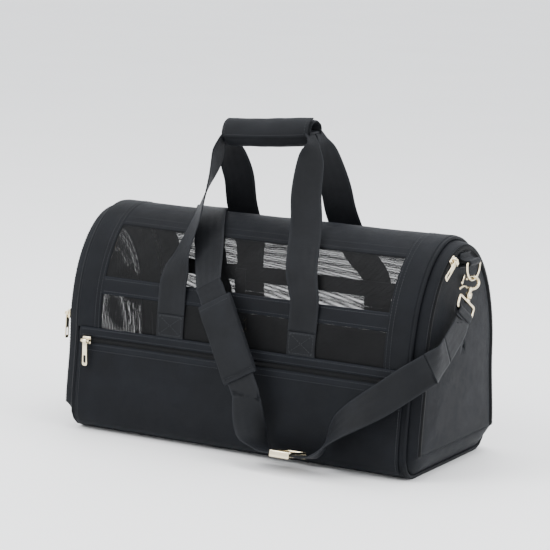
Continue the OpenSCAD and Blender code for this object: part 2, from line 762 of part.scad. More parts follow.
strap_end(-1);  // strap_end_left
handle_bases(-1);  // handle_bases_front
handle_bases(1);  // handle_bases_back
handle_leg(-1, 1);  // handle_leg_front_right
handle_leg(-1, -1);  // handle_leg_front_left
handle_leg(1, 1);  // handle_leg_back_right
handle_leg(1, -1);  // handle_leg_back_left
handle_grip();
grip_wrap();
wrap_flap();
shoulder_strap();
strap_pad();
strap_adjuster();
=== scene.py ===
"""The looks of a soft-sided pet carrier bag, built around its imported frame.

Every piece is made in metres in the frame's own axes: X along the bag, the front towards -Y, Z up.
"""
import json
import math

import bmesh
import bpy
from bpy.props import FloatProperty, FloatVectorProperty, PointerProperty
from bpy.types import Operator, Panel, PropertyGroup
from mathutils import Matrix, Vector, noise


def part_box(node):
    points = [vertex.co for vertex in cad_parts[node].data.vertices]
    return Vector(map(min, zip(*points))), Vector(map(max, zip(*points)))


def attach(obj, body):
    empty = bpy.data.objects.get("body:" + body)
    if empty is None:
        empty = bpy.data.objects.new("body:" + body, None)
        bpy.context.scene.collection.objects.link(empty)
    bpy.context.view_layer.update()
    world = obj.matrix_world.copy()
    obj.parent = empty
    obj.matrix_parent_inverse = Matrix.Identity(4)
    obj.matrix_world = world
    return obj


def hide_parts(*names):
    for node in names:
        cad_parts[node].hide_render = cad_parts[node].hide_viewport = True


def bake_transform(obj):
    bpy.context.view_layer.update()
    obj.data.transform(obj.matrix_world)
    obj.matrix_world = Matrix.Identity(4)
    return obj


bl_info = {
    "name": "Pet Carrier Bag",
    "version": (1, 0, 0),
    "blender": (4, 5, 0),
    "location": "View3D > Sidebar > Carrier",
    "description": "Builds the cloth, mesh, webbing, zips and hardware of a pet carrier bag",
    "category": "Add Mesh",
}

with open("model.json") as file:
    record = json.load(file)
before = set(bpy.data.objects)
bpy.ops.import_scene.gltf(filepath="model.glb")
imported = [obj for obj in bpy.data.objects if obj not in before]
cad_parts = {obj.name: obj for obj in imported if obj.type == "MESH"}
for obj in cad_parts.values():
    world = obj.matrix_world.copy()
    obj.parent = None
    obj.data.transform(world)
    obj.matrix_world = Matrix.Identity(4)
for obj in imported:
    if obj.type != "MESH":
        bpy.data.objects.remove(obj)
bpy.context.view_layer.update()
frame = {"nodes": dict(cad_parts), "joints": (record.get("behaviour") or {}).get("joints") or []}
JOINTS = {joint["name"]: joint for joint in frame["joints"]}

# ---------------------------------------------------------------- sizes read from the frame
RIM_LOW, RIM_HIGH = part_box("rim_piping")
HALF_L = RIM_HIGH.x
HALF_W = RIM_HIGH.y
BAG_H = RIM_HIGH.z
BARREL_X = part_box("base_panel")[1].x
WINDOW_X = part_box("front_window_lower")[1].x
WINDOW_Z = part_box("front_window_lower")[0].z
STRIP_Z0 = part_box("front_window_lower")[1].z
STRIP_Z1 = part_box("front_window_upper")[0].z
RIDGE_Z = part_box("front_window_upper")[1].z
DOOR_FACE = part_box("door_right")[1].x
DOOR_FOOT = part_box("door_right")[0].z
POCKET_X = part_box("pocket_panel")[1].x
HEM_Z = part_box("pocket_zip")[0].z
WELT_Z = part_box("pocket_zip")[1].z
GRIP_LOW, GRIP_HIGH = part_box("grip_wrap")
FRONT, BACK = -1, 1
SIDES = ((FRONT, "front"), (BACK, "back"))
ENDS = {"right": 1, "left": -1}
RIDGE = 90              # the place on the cross-section where the front and the back meet
FOOT = -200             # the place where the walls meet the base
SEAM = 0.003            # how far a row of stitches lies in from a cloth edge
OPEN_ARCH = 81          # points of a section loop that lie over the arch, without its bottom edge


class CarrierSizes(PropertyGroup):
    """Sizes of the soft pieces that the frame doesn't give"""
    spring_height: FloatProperty(name="Spring height", unit="LENGTH", default=0.120,
                                 description="Height at which the sides start to arch over")
    side_lean: FloatProperty(name="Side lean", unit="LENGTH", default=0.008,
                             description="How much each side leans in below the spring height")
    corner_radius: FloatProperty(name="Corner radius", unit="LENGTH", default=0.026,
                                 description="Radius of the two long bottom corners")
    cloth: FloatProperty(name="Cloth", unit="LENGTH", default=0.003,
                         description="Thickness of a padded cloth panel")
    band: FloatProperty(name="Band", unit="LENGTH", default=0.002,
                        description="Thickness of a sewn band")
    mesh: FloatProperty(name="Mesh", unit="LENGTH", default=0.0003,
                        description="Thickness of the mesh")
    webbing: FloatProperty(name="Webbing", unit="LENGTH", default=0.0018,
                           description="Thickness of the webbing")
    webbing_width: FloatProperty(name="Webbing width", unit="LENGTH", default=0.036,
                                 description="Width of the handles and the shoulder strap")
    sag: FloatProperty(name="Sag", unit="LENGTH", default=0.0035,
                       description="How far the walls sink in between the two ends")
    wrinkle: FloatProperty(name="Wrinkle", unit="LENGTH", default=0.0011,
                           description="Height of the soft folds in the cloth")
    stitch: FloatProperty(name="Stitch", unit="LENGTH", default=0.0034,
                          description="Length of one stitch, with its gap")
    zip_inset: FloatProperty(name="Zip inset", unit="LENGTH", default=0.012,
                             description="Distance of a door's zip from the outline of the bag")
    tooth: FloatProperty(name="Zip tooth", unit="LENGTH", default=0.0021,
                         description="Distance from one zip tooth to the next")
    left_dome: FloatProperty(name="Left dome", unit="LENGTH", default=0.008,
                             description="How far the mesh door swells out")
    right_dome: FloatProperty(name="Right dome", unit="LENGTH", default=0.004,
                              description="How far the cloth door swells out")
    grip_tilt: FloatProperty(name="Grip tilt", unit="LENGTH", default=0.009,
                             description="How much higher the right end of the grip is")


class CarrierColours(PropertyGroup):
    """Colours of the finishes"""
    cloth: FloatVectorProperty(name="Cloth", subtype="COLOR", size=3, default=(0.0032, 0.0038, 0.0052),
                               description="Coated polyester of the walls")
    webbing: FloatVectorProperty(name="Webbing", subtype="COLOR", size=3, default=(0.0056, 0.0061, 0.0072),
                                 description="Woven straps and bands")
    mesh: FloatVectorProperty(name="Mesh", subtype="COLOR", size=3, default=(0.0045, 0.0047, 0.0052),
                              description="Knitted mesh of the windows")
    tape: FloatVectorProperty(name="Zip tape", subtype="COLOR", size=3, default=(0.0025, 0.0028, 0.0034),
                              description="Tape and teeth of the zips")
    thread: FloatVectorProperty(name="Thread", subtype="COLOR", size=3, default=(0.012, 0.0135, 0.0165),
                                description="Sewing thread")
    metal: FloatVectorProperty(name="Metal", subtype="COLOR", size=3, default=(0.80, 0.70, 0.49),
                               description="Pale gold plating")
    mat: FloatVectorProperty(name="Floor mat", subtype="COLOR", size=3, default=(0.030, 0.032, 0.038),
                             description="Brushed cover of the floor mat")
    floor: FloatVectorProperty(name="Floor", subtype="COLOR", size=3, default=(0.92, 0.92, 0.92),
                               description="Studio floor and backdrop")


def sizes():
    return bpy.context.scene.carrier_sizes


def colours():
    return bpy.context.scene.carrier_colours


# ---------------------------------------------------------------- the cross-section
def smooth(f):
    f = min(1.0, max(0.0, f))
    return f * f * (3 - 2 * f)


def lerp(a, b, f):
    return a + (b - a) * f


def wall(u):
    """A place on the cross-section, as (y, z). u runs from -200 at the base, over -100 at the top of
    the bottom corner and 0 at the spring line, to 90 at the ridge."""
    s = sizes()
    r = s.corner_radius
    if u <= -100:
        turn = math.radians((u + 200) * 0.9)
        return HALF_W - r + r * math.sin(turn), r * (1 - math.cos(turn))
    if u <= 0:
        return HALF_W - s.side_lean * smooth(u / 100 + 1), lerp(r, s.spring_height, u / 100 + 1)
    turn = math.radians(u)
    return (HALF_W - s.side_lean) * math.cos(turn), s.spring_height + (BAG_H - s.spring_height) * math.sin(turn)


def wall_normal(u):
    """The direction out of the cross-section at a place on it."""
    s = sizes()
    if u <= -100:
        turn = math.radians((u + 200) * 0.9)
        return math.sin(turn), -math.cos(turn)
    if u <= 0:
        n = Vector((s.spring_height - s.corner_radius, s.side_lean * 6 * (u / 100 + 1) * -u / 100))
    else:
        turn = math.radians(u)
        n = Vector(((BAG_H - s.spring_height) * math.cos(turn), (HALF_W - s.side_lean) * math.sin(turn)))
    n.normalize()
    return n.x, n.y


def wall_point(side, x, u, d):
    """A point d outside the drawn surface, before the cloth sags."""
    y, z = wall(u)
    ny, nz = wall_normal(u)
    return Vector((x, side * (y + d * ny), z + d * nz))


def place_at(z):
    """The place u of a height on the wall."""
    s = sizes()
    if z < s.corner_radius:
        return -200 + math.degrees(math.acos(1 - z / s.corner_radius)) / 0.9
    if z < s.spring_height:
        return -100 + 100 * (z - s.corner_radius) / (s.spring_height - s.corner_radius)
    return math.degrees(math.asin(min(1.0, (z - s.spring_height) / (BAG_H - s.spring_height))))


def soft(x, side, z):
    """How far the cloth lies inside its drawn surface at a place on the walls: a broad sag and soft folds."""
    s = sizes()
    along = 1 - (x / HALF_L) ** 4
    up = 0.25 + 0.75 * math.sin(math.pi * min(1.0, z / BAG_H)) if z > 0 else 0.0
    foot = smooth(z / 0.03)
    top = 1 - smooth((z - RIDGE_Z) / (BAG_H - RIDGE_Z)) * 0.6
    broad = -s.sag * along * up * foot * top
    spot = Vector((x * 9, side * 3 + z * 4, z * 16))
    folds = noise.noise(spot) * 0.9 + noise.noise(spot * 2.3 + Vector((x * 20, 7, 3))) * 0.4
    return broad + (folds - 0.5) * s.wrinkle * foot * (0.35 + 0.65 * along)


def on_wall(side, x, u, d=0.0):
    """A point d outside the sagging cloth, and the direction out of it. side is FRONT or BACK."""
    y, z = wall(u)
    ny, nz = wall_normal(u)
    out = d + soft(x, side, z)
    return Vector((x, side * (y + out * ny), z + out * nz)), Vector((0, side * ny, nz))


def steps(a, b, size, edge=0.0):
    """Values from a to b about size apart, with two close to each end where the edge is rounded."""
    n = max(2, round(abs(b - a) / size))
    inner = [a + (b - a) * i / n for i in range(n + 1)]
    if not edge:
        return inner
    sign = 1 if b > a else -1
    close = [a + sign * edge * f for f in (0.15, 0.5, 1.0)]
    far = [b - sign * edge * f for f in (1.0, 0.5, 0.15)]
    kept = [v for v in inner if abs(v - a) > 1.6 * edge and abs(v - b) > 1.6 * edge]
    return [a] + close + kept + far + [b]


# ---------------------------------------------------------------- mesh makers
def ring_faces(rings, n, closed=False, caps=True):
    """Faces of a skin through rings of n points, joined up if closed, or else capped at its two ends."""
    faces = []
    for i in range(rings if closed else rings - 1):
        here, there = i * n, ((i + 1) % rings) * n
        for k in range(n):
            j = (k + 1) % n
            faces.append((here + k, here + j, there + j, there + k))
    if caps and not closed:
        faces.append(tuple(range(n - 1, -1, -1)))
        faces.append(tuple(range((rings - 1) * n, rings * n)))
    return faces


def sheet_faces(rows, cols):
    """Faces of a closed sheet: an upper grid of points, a lower one after it, and the rim between them."""
    count = rows * cols
    faces = []
    for i in range(rows - 1):
        for j in range(cols - 1):
            a = i * cols + j
            faces.append((a, a + 1, a + cols + 1, a + cols))
            faces.append((count + a, count + a + cols, count + a + cols + 1, count + a + 1))
    rim = list(range(cols)) + [i * cols + cols - 1 for i in range(1, rows)]
    rim += [(rows - 1) * cols + j for j in range(cols - 2, -1, -1)] + [i * cols for i in range(rows - 2, 0, -1)]
    for k, a in enumerate(rim):
        b = rim[(k + 1) % len(rim)]
        faces.append((b, a, count + a, count + b))
    return faces


def blank_uv(verts):
    return [(0.0, 0.0)] * len(verts)


def new_object(name, verts, faces, uvs=None, edge_highlight=None, smooth_shade=True):
    """A mesh object. uvs holds one (u, v) in metres for each vertex, and the last list one value for each vertex: the
    strength of the painted edge highlight there.
    """
    mesh = bpy.data.meshes.new(name)
    mesh.from_pydata([tuple(v) for v in verts], [], faces)
    mesh.update()
    if uvs:
        layer = mesh.uv_layers.new(name="cloth_uv")
        for loop in mesh.loops:
            layer.data[loop.index].uv = uvs[loop.vertex_index]
    if edge_highlight:
        attribute = mesh.attributes.new("edge_highlight", "FLOAT", "POINT")
        attribute.data.foreach_set("value", edge_highlight)
    if smooth_shade:
        mesh.shade_smooth()
    obj = bpy.data.objects.new(name, mesh)
    bpy.context.scene.collection.objects.link(obj)
    return obj


def finish_piece(obj, material, body, slot, *nodes):
    """Gives a piece its material, its body and the frame nodes it stands for. Its slot is not used."""
    obj.data.materials.clear()
    obj.data.materials.append(material)
    if body:
        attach(obj, body)
    if nodes:
        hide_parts(*nodes)
    return obj


def apply_modifiers(obj):
    """Bakes an object's modifiers into its mesh."""
    bpy.context.view_layer.update()
    graph = bpy.context.evaluated_depsgraph_get()
    mesh = bpy.data.meshes.new_from_object(obj.evaluated_get(graph), preserve_all_data_layers=True, depsgraph=graph)
    obj.modifiers.clear()
    old = obj.data
    obj.data = mesh
    bpy.data.meshes.remove(old)
    return obj


def round_off(value, first, last, edge):
    """From 0 on either edge to 1 inside it, as a quarter circle."""
    near = min(abs(value - first), abs(last - value))
    if near >= edge:
        return 1.0
    return math.sqrt(max(0.0, 1 - (1 - near / edge) ** 2))


def slab(name, spot, s_values, t_values, thick, edge, uv=None, s_edge=None):
    """A closed sheet over a grid. spot(s, t) gives its inner point and the direction out of it, and the
    sheet thins to a round edge at its four sides, edge wide along t and s_edge wide along s."""
    s_edge = s_edge or edge
    rows, cols = len(s_values), len(t_values)
    outer, inner, uvs, edge_highlight = [], [], [], []
    for s in s_values:
        for t in t_values:
            point, out = spot(s, t)
            fill = min(round_off(s, s_values[0], s_values[-1], s_edge),
                       round_off(t, t_values[0], t_values[-1], edge))
            outer.append(point + out * thick * (0.5 + 0.5 * fill))
            inner.append(point + out * thick * (0.5 - 0.5 * fill))
            uvs.append(uv(s, t) if uv else (t, s))
            # painted highlight share, strongest at the two edges along s
            edge_highlight.append(1 - smooth(min(abs(s - s_values[0]), abs(s_values[-1] - s)) / (4 * s_edge)))
    return mend(new_object(name, outer + inner, sheet_faces(rows, cols), uvs * 2, edge_highlight * 2))


def mend(obj):
    """Joins points that meet at sharp edges and turns every face outwards."""
    work = bmesh.new()
    work.from_mesh(obj.data)
    bmesh.ops.remove_doubles(work, verts=work.verts, dist=1e-6)
    bmesh.ops.dissolve_degenerate(work, edges=work.edges, dist=1e-7)
    bmesh.ops.recalc_face_normals(work, faces=work.faces)
    work.to_mesh(obj.data)
    work.free()
    return obj


def wall_piece(name, side, z0, z1, x0, x1, lift, thick, cell=0.009):
    """A strip of cloth on one wall between two heights."""
    edge = thick * 0.7
    u0, u1 = place_at(z0), place_at(z1)
    count = max(3, round(arc_length(u0, u1) / cell))
    even = [u0 + (u1 - u0) * i / count for i in range(1, count)]
    per_unit = (u1 - u0) / arc_length(u0, u1)
    u_values = [u0, u0 + edge * 0.3 * per_unit, u0 + edge * per_unit, *even,
                u1 - edge * per_unit, u1 - edge * 0.3 * per_unit, u1]
    lengths = {u: arc_length(FOOT, u) for u in u_values}

    def spot(u, x):
        return on_wall(side, x, u, lift)

    def fill_uv(u, x):
        return x, lengths[u]
    return slab(name, spot, u_values, steps(x0, x1, cell, edge), thick, edge, fill_uv, edge * per_unit)


def arc_length(u0, u1, parts=24):
    """The length round the cross-section between two places on it."""
    total = 0.0
    last = Vector(wall(u0))
    for i in range(1, parts + 1):
        here = Vector(wall(lerp(u0, u1, i / parts)))
        total += (here - last).length
        last = here
    return total


def strap(name, stops, width, thick, step=0.006, crown=0.12):
    """A flat strap along stops of (place, direction across it, width as a share). It is a little
    thinner at its edges, and its uv runs across and along it in metres."""
    places, acrosses, shares = [], [], []
    for i in range(len(stops) - 1):
        near = [stops[max(0, min(len(stops) - 1, k))] for k in (i - 1, i, i + 1, i + 2)]
        length = (near[2][0] - near[1][0]).length
        parts = max(2, round(length / step))
        for j in range(parts):
            t = j / parts
            places.append(spline(*[n[0] for n in near], t))
            acrosses.append(spline(*[n[1] for n in near], t).normalized())
            shares.append(spline(*[n[2] for n in near], t))
    places.append(stops[-1][0].copy())
    acrosses.append(stops[-1][1].normalized())
    shares.append(stops[-1][2])
    profile = [(-1, 0.35), (-0.94, 0.85), (-0.8, 1), (-0.4, 1), (0, 1), (0.4, 1), (0.8, 1), (0.94, 0.85), (1, 0.35)]
    loop = profile + [(x, -h) for x, h in reversed(profile)]
    verts, uvs, edge_highlight = [], [], []
    run = 0.0
    for i, (p, across, share) in enumerate(zip(places, acrosses, shares)):
        ahead = (places[min(i + 1, len(places) - 1)] - places[max(i - 1, 0)]).normalized()
        face = ahead.cross(across).normalized()
        across = face.cross(ahead)
        if i:
            run += (p - places[i - 1]).length
        for x, h in loop:
            belly = crown * thick * (1 - x * x)
            verts.append(p + across * (x * width * share / 2) + face * (h * thick / 2 + belly))
            uvs.append((x * width / 2, run))
            # painted highlight share, strongest along the strap's two edges
            edge_highlight.append(smooth((abs(x) - 0.8) / 0.2))
    return mend(new_object(name, verts, ring_faces(len(places), len(loop)), uvs, edge_highlight))


def spline(a, b, c, d, t):
    """A value on the smooth curve from b to c, with a before it and d after it."""
    return 0.5 * (2 * b + (c - a) * t + (2 * a - 5 * b + 4 * c - d) * t * t + (3 * b - a - 3 * c + d) * t * t * t)


def frames_along(points, closed):
    """The heading and a steady sideways direction at each point of a path."""
    n = len(points)
    headings = []
    for i in range(n):
        before = points[i - 1] if closed or i else points[0]
        after = points[(i + 1) % n] if closed or i < n - 1 else points[-1]
        headings.append((after - before).normalized())
    side = headings[0].orthogonal().normalized()
    sides = [side]
    for i in range(1, n):
        side = (side - headings[i] * side.dot(headings[i])).normalized()
        sides.append(side)
    return headings, sides


def tube(name, points, radius, sides=12, closed=False, link=True):
    """A round bar along a path. radius is a number, or one number for each point."""
    headings, across = frames_along(points, closed)
    verts, uvs = [], []
    run = 0.0
    for i, (p, ahead, x) in enumerate(zip(points, headings, across)):
        y = ahead.cross(x)
        r = radius[i] if isinstance(radius, (list, tuple)) else radius
        if i:
            run += (p - points[i - 1]).length
        for k in range(sides):
            turn = 2 * math.pi * k / sides
            verts.append(p + (x * math.cos(turn) + y * math.sin(turn)) * r)
            uvs.append((turn * r, run))
    faces = ring_faces(len(points), sides, closed)
    if not link:
        return verts, faces, uvs
    return mend(new_object(name, verts, faces, uvs))


def curve_points(stops, parts=8, closed=False):
    """A smooth path through a few stops."""
    n = len(stops)
    points = []
    for i in range(n if closed else n - 1):
        near = [stops[k % n] if closed else stops[max(0, min(n - 1, k))] for k in (i - 1, i, i + 1, i + 2)]
        points += [spline(*near, j / parts) for j in range(parts)]
    return points if closed else points + [stops[-1].copy()]


def joined(name, parts):
    """One mesh from several (verts, faces, uvs) groups."""
    verts, faces, uvs = [], [], []
    for v, f, t in parts:
        base = len(verts)
        verts += v
        faces += [tuple(base + i for i in face) for face in f]
        uvs += t
    return new_object(name, verts, faces, uvs)


def block(low, high, place=Matrix.Identity(4), chamfer=0.0):
    """A box with chamfered edges, as a (verts, faces, uvs) group."""
    work = bmesh.new()
    bmesh.ops.create_cube(work, size=1.0)
    size = [high[k] - low[k] for k in range(3)]
    for v in work.verts:
        v.co = Vector([low[k] + (v.co[k] + 0.5) * size[k] for k in range(3)])
    if chamfer:
        bmesh.ops.bevel(work, geom=work.edges[:], offset=min(chamfer, min(size) * 0.45), segments=2, profile=0.6,
                        affect="EDGES")
    verts = [place @ v.co for v in work.verts]
    faces = [tuple(v.index for v in face.verts) for face in work.faces]
    work.free()
    return verts, faces, [(v.x, v.z) for v in verts]


def turned(profile, place, sides=20):
    """A turned form from (radius, height) pairs about the place's own Z, as a (verts, faces, uvs) group."""
    verts = []
    for r, h in profile:
        for k in range(sides):
            turn = 2 * math.pi * k / sides
            verts.append(place @ Vector((r * math.cos(turn), r * math.sin(turn), h)))
    return verts, ring_faces(len(profile), sides), blank_uv(verts)


# ---------------------------------------------------------------- sewing and zips
STITCHES = {}


def walk(path, pitch, start, spare=0):
    """Spots about pitch apart along a path of (point, direction out) pairs, from start of a pitch in.
    Each is its point, the direction out, and the heading."""
    lengths = [0.0]
    for i in range(1, len(path)):
        lengths.append(lengths[-1] + (path[i][0] - path[i - 1][0]).length)
    count = int(lengths[-1] / pitch)
    k = 0
    for n in range(count):
        along = (n + start) * lengths[-1] / (count + spare)
        while k < len(path) - 2 and lengths[k + 1] < along:
            k += 1
        f = (along - lengths[k]) / max(1e-9, lengths[k + 1] - lengths[k])
        up = path[k][1].lerp(path[k + 1][1], f).normalized()
        yield path[k][0].lerp(path[k + 1][0], f), up, (path[k + 1][0] - path[k][0]).normalized()


def sew(group, path, pitch=None):
    """Adds a row of stitches along a path of (point, direction out) pairs to one body's sewing."""
    pitch = pitch or sizes().stitch
    verts, faces = STITCHES.setdefault(group, ([], []))
    for p, up, ahead in walk(path, pitch, 0.5):
        across = up.cross(ahead).normalized()
        half = pitch * 0.36
        base = len(verts)
        verts += [p - ahead * half, p + across * 0.00036, p + up * 0.00042, p - across * 0.00036,
                  p - up * 0.0002, p + ahead * half]
        faces += [tuple(base + i for i in face) for face in (
            (0, 1, 2), (0, 2, 3), (0, 3, 4), (0, 4, 1), (5, 2, 1), (5, 3, 2), (5, 4, 3), (5, 1, 4))]


def sew_wall(group, side, x0, x1, z, lift, step=0.012):
    """A row of stitches along a wall at one height."""
    u = place_at(z)
    sew(group, [on_wall(side, x, u, lift) for x in steps(x0, x1, step)])


def sew_up(group, side, x, z0, z1, lift):
    """A row of stitches up a wall."""
    u0, u1 = place_at(z0), place_at(z1)
    sew(group, [on_wall(side, x, lerp(u0, u1, i / 16), lift) for i in range(17)])


def finish_sewing():
    """Makes one piece of all the stitches on each body."""
    for group, (verts, faces) in STITCHES.items():
        obj = new_object(f"sewing_{group}", verts, faces, blank_uv(verts), smooth_shade=False)
        finish_piece(obj, finish("thread"), group, "webbing")
    STITCHES.clear()


def teeth(path, side, pitch):
    """Zip teeth along a path of (point, direction out) pairs, leaning to one side of it, as a group."""
    verts, faces = [], []
    for p, up, ahead in walk(path, pitch, 0.75 if side > 0 else 0.25, 1):
        out = up.cross(ahead).normalized() * side
        base = len(verts)
        for a, o, h in ((-1, -0.25, 0), (1, -0.25, 0), (1, 1.7, 0), (-1, 1.7, 0),
                        (-0.7, -0.1, 1), (0.7, -0.1, 1), (0.7, 1.5, 1), (-0.7, 1.5, 1)):
            verts.append(p + ahead * (a * pitch * 0.3) + out * (o * 0.0011) + up * (h * 0.0011))
        faces += [tuple(base + i for i in face) for face in (
            (3, 2, 1, 0), (4, 5, 6, 7), (0, 1, 5, 4), (1, 2, 6, 5), (2, 3, 7, 6), (3, 0, 4, 7))]
    return verts, faces, blank_uv(verts)


# ---------------------------------------------------------------- finishes
class Tree:
    """A small helper for building a material's nodes"""

    def __init__(self, name):
        self.material = bpy.data.materials.new(name)
        self.material.use_nodes = True
        self.tree = self.material.node_tree
        self.shader = self.tree.nodes["Principled BSDF"]
        self.out = self.tree.nodes["Material Output"]

    def node(self, kind, **settings):
        n = self.tree.nodes.new(kind)
        for key, value in settings.items():
            setattr(n, key, value)
        return n

    def link(self, a, b):
        self.tree.links.new(a, b)

    def math(self, operation, a, b=0.0, clamp=False):
        n = self.node("ShaderNodeMath", operation=operation, use_clamp=clamp)
        for socket, value in zip(n.inputs, (a, b)):
            if hasattr(value, "is_output"):
                self.link(value, socket)
            else:
                socket.default_value = value
        return n.outputs[0]

    def uv(self):
        """Metres across and along the cloth"""
        split = self.node("ShaderNodeSeparateXYZ")
        self.link(self.node("ShaderNodeUVMap", uv_map="cloth_uv").outputs[0], split.inputs[0])
        return split.outputs[0], split.outputs[1]

    def place(self):
        return self.node("ShaderNodeTexCoord").outputs["Object"]

    def noise(self, scale, detail=3.0, rough=0.55):
        n = self.node("ShaderNodeTexNoise")
        n.inputs["Scale"].default_value = scale
        n.inputs["Detail"].default_value = detail
        n.inputs["Roughness"].default_value = rough
        self.link(self.place(), n.inputs["Vector"])
        return n.outputs["Fac"]

    def ramp(self, fac, low, high, p0=0.3, p1=0.7):
        n = self.node("ShaderNodeValToRGB")
        n.color_ramp.elements[0].position = p0
        n.color_ramp.elements[1].position = p1
        n.color_ramp.elements[0].color = (*low, 1)
        n.color_ramp.elements[1].color = (*high, 1)
        self.link(fac, n.inputs[0])
        return n.outputs[0]

    def span(self, fac, low, high):
        n = self.node("ShaderNodeMapRange")
        n.inputs["To Min"].default_value = low
        n.inputs["To Max"].default_value = high
        self.link(fac, n.inputs["Value"])
        return n.outputs[0]

    def bump(self, height, strength, distance, below=None):
        n = self.node("ShaderNodeBump")
        n.inputs["Strength"].default_value = strength
        n.inputs["Distance"].default_value = distance
        self.link(height, n.inputs["Height"])
        if below:
            self.link(below, n.inputs["Normal"])
        return n.outputs[0]

    # The share of painted edge highlight stored on each vertex
    def edge_highlight(self):
        return self.node("ShaderNodeAttribute", attribute_name="edge_highlight").outputs["Fac"]


FINISHES = {}


def shade(colour, factor):
    return tuple(min(1.0, c * factor) for c in colour)


def woven(tree, pitch):
    """The height of a plain weave: threads of one way over threads of the other, in turn."""
    u, v = tree.uv()
    a = tree.math("DIVIDE", u, pitch)
    b = tree.math("DIVIDE", v, pitch)
    warp = tree.math("ABSOLUTE", tree.math("SINE", tree.math("MULTIPLY", a, math.pi)))
    weft = tree.math("ABSOLUTE", tree.math("SINE", tree.math("MULTIPLY", b, math.pi)))
    turn = tree.math("PINGPONG", tree.math("ADD", tree.math("FLOOR", a), tree.math("FLOOR", b)), 1.0)
    over = tree.math("MULTIPLY", warp, turn)
    under = tree.math("MULTIPLY", weft, tree.math("SUBTRACT", 1.0, turn))
    return tree.math("ADD", over, under)


def ribbed(tree, pitch, slant):
    """The height of a webbing's weave: slanting ribs that change their way at each quarter of its width."""
    u, v = tree.uv()
    quarter = tree.math("PINGPONG", u, 0.0045)
    phase = tree.math("DIVIDE", tree.math("ADD", v, tree.math("MULTIPLY", quarter, slant)), pitch)
    ribs = tree.math("ABSOLUTE", tree.math("SINE", tree.math("MULTIPLY", phase, math.pi)))
    strand = tree.math("DIVIDE", u, pitch * 0.8)
    cords = tree.math("ABSOLUTE", tree.math("SINE", tree.math("MULTIPLY", strand, math.pi)))
    return tree.math("ADD", tree.math("MULTIPLY", ribs, 0.7), tree.math("MULTIPLY", cords, 0.3))


def cloth_finish(name, colour, pitch, rough=(0.5, 0.68), sheen=0.25, weave=0.35, ribs=False):
    """Woven cloth or webbing, with a painted highlight that makes its edges paler, in speckles."""
    tree = Tree(name)
    base = tree.ramp(tree.noise(22.0, 4.0), shade(colour, 0.8), shade(colour, 1.3))
    # painted highlight: where the vertex value is high the colour is mixed towards one 2.2 times paler, broken up by
    # fine noise
    highlight_mix = tree.node("ShaderNodeMix", data_type="RGBA")
    tree.link(tree.math("MULTIPLY", tree.edge_highlight(), tree.noise(260.0, 2.0)), highlight_mix.inputs["Factor"])
    tree.link(base, highlight_mix.inputs["A"])
    highlight_mix.inputs["B"].default_value = (*shade(colour, 2.2), 1)
    tree.link(highlight_mix.outputs["Result"], tree.shader.inputs["Base Color"])
    tree.link(tree.span(tree.noise(60.0, 3.0), *rough), tree.shader.inputs["Roughness"])
    height = ribbed(tree, pitch, 1.0) if ribs else woven(tree, pitch)
    folds = tree.bump(tree.noise(38.0, 3.0), 0.25, 0.004)
    tree.link(tree.bump(height, weave, 0.0004, folds), tree.shader.inputs["Normal"])
    tree.shader.inputs["Sheen Weight"].default_value = sheen * 0.06
    tree.shader.inputs["Sheen Roughness"].default_value = 0.45
    tree.shader.inputs["Sheen Tint"].default_value = (0.75, 0.82, 1.0, 1)
    tree.shader.inputs["Specular IOR Level"].default_value = 0.10
    return tree.material


def mesh_finish(name, colour, pitch, thread):
    """Knitted mesh: rows of small round holes, each row shifted by half a hole."""
    tree = Tree(name)
    u, v = tree.uv()
    row = tree.math("DIVIDE", v, pitch * 0.866)
    shift = tree.math("MULTIPLY", tree.math("PINGPONG", tree.math("FLOOR", row), 1.0), 0.5)
    cell_x = tree.math("SUBTRACT", tree.math("FRACT", tree.math("ADD", tree.math("DIVIDE", u, pitch), shift)), 0.5)
    cell_y = tree.math("MULTIPLY", tree.math("SUBTRACT", tree.math("FRACT", row), 0.5), 0.866)
    reach = tree.math("SQRT", tree.math("ADD", tree.math("MULTIPLY", cell_x, cell_x),
                                        tree.math("MULTIPLY", cell_y, cell_y)))
    solid = tree.math("GREATER_THAN", reach, 0.5 - thread)
    tree.link(solid, tree.shader.inputs["Alpha"])
    tree.link(tree.ramp(tree.noise(30.0), shade(colour, 0.8), shade(colour, 1.4)), tree.shader.inputs["Base Color"])
    tree.link(tree.span(tree.noise(70.0), 0.45, 0.65), tree.shader.inputs["Roughness"])
    tree.link(tree.bump(reach, 0.5, 0.0006), tree.shader.inputs["Normal"])
    tree.shader.inputs["Specular IOR Level"].default_value = 0.15
    return tree.material


def metal_finish(name, colour, rough=(0.14, 0.3)):
    """Plated metal with fine scuffs."""
    tree = Tree(name)
    tree.link(tree.ramp(tree.noise(90.0), shade(colour, 0.86), shade(colour, 1.08)), tree.shader.inputs["Base Color"])
    tree.link(tree.span(tree.noise(240.0, 4.0), *rough), tree.shader.inputs["Roughness"])
    tree.link(tree.bump(tree.noise(500.0, 2.0), 0.08, 0.0004), tree.shader.inputs["Normal"])
    tree.shader.inputs["Metallic"].default_value = 1.0
    return tree.material


def plain_finish(name, colour, rough, scale=80.0, bump=0.2, depth=0.001, spread=0.25, shine=0.5):
    """A plain solid with an uneven colour and a grainy face."""
    tree = Tree(name)
    tree.shader.inputs["Specular IOR Level"].default_value = shine
    tree.link(tree.ramp(tree.noise(scale), shade(colour, 1 - spread), shade(colour, 1 + spread)),
              tree.shader.inputs["Base Color"])
    tree.link(tree.span(tree.noise(scale * 0.6), rough - 0.08, rough + 0.08), tree.shader.inputs["Roughness"])
    tree.link(tree.bump(tree.noise(scale * 3), bump, depth), tree.shader.inputs["Normal"])
    return tree.material


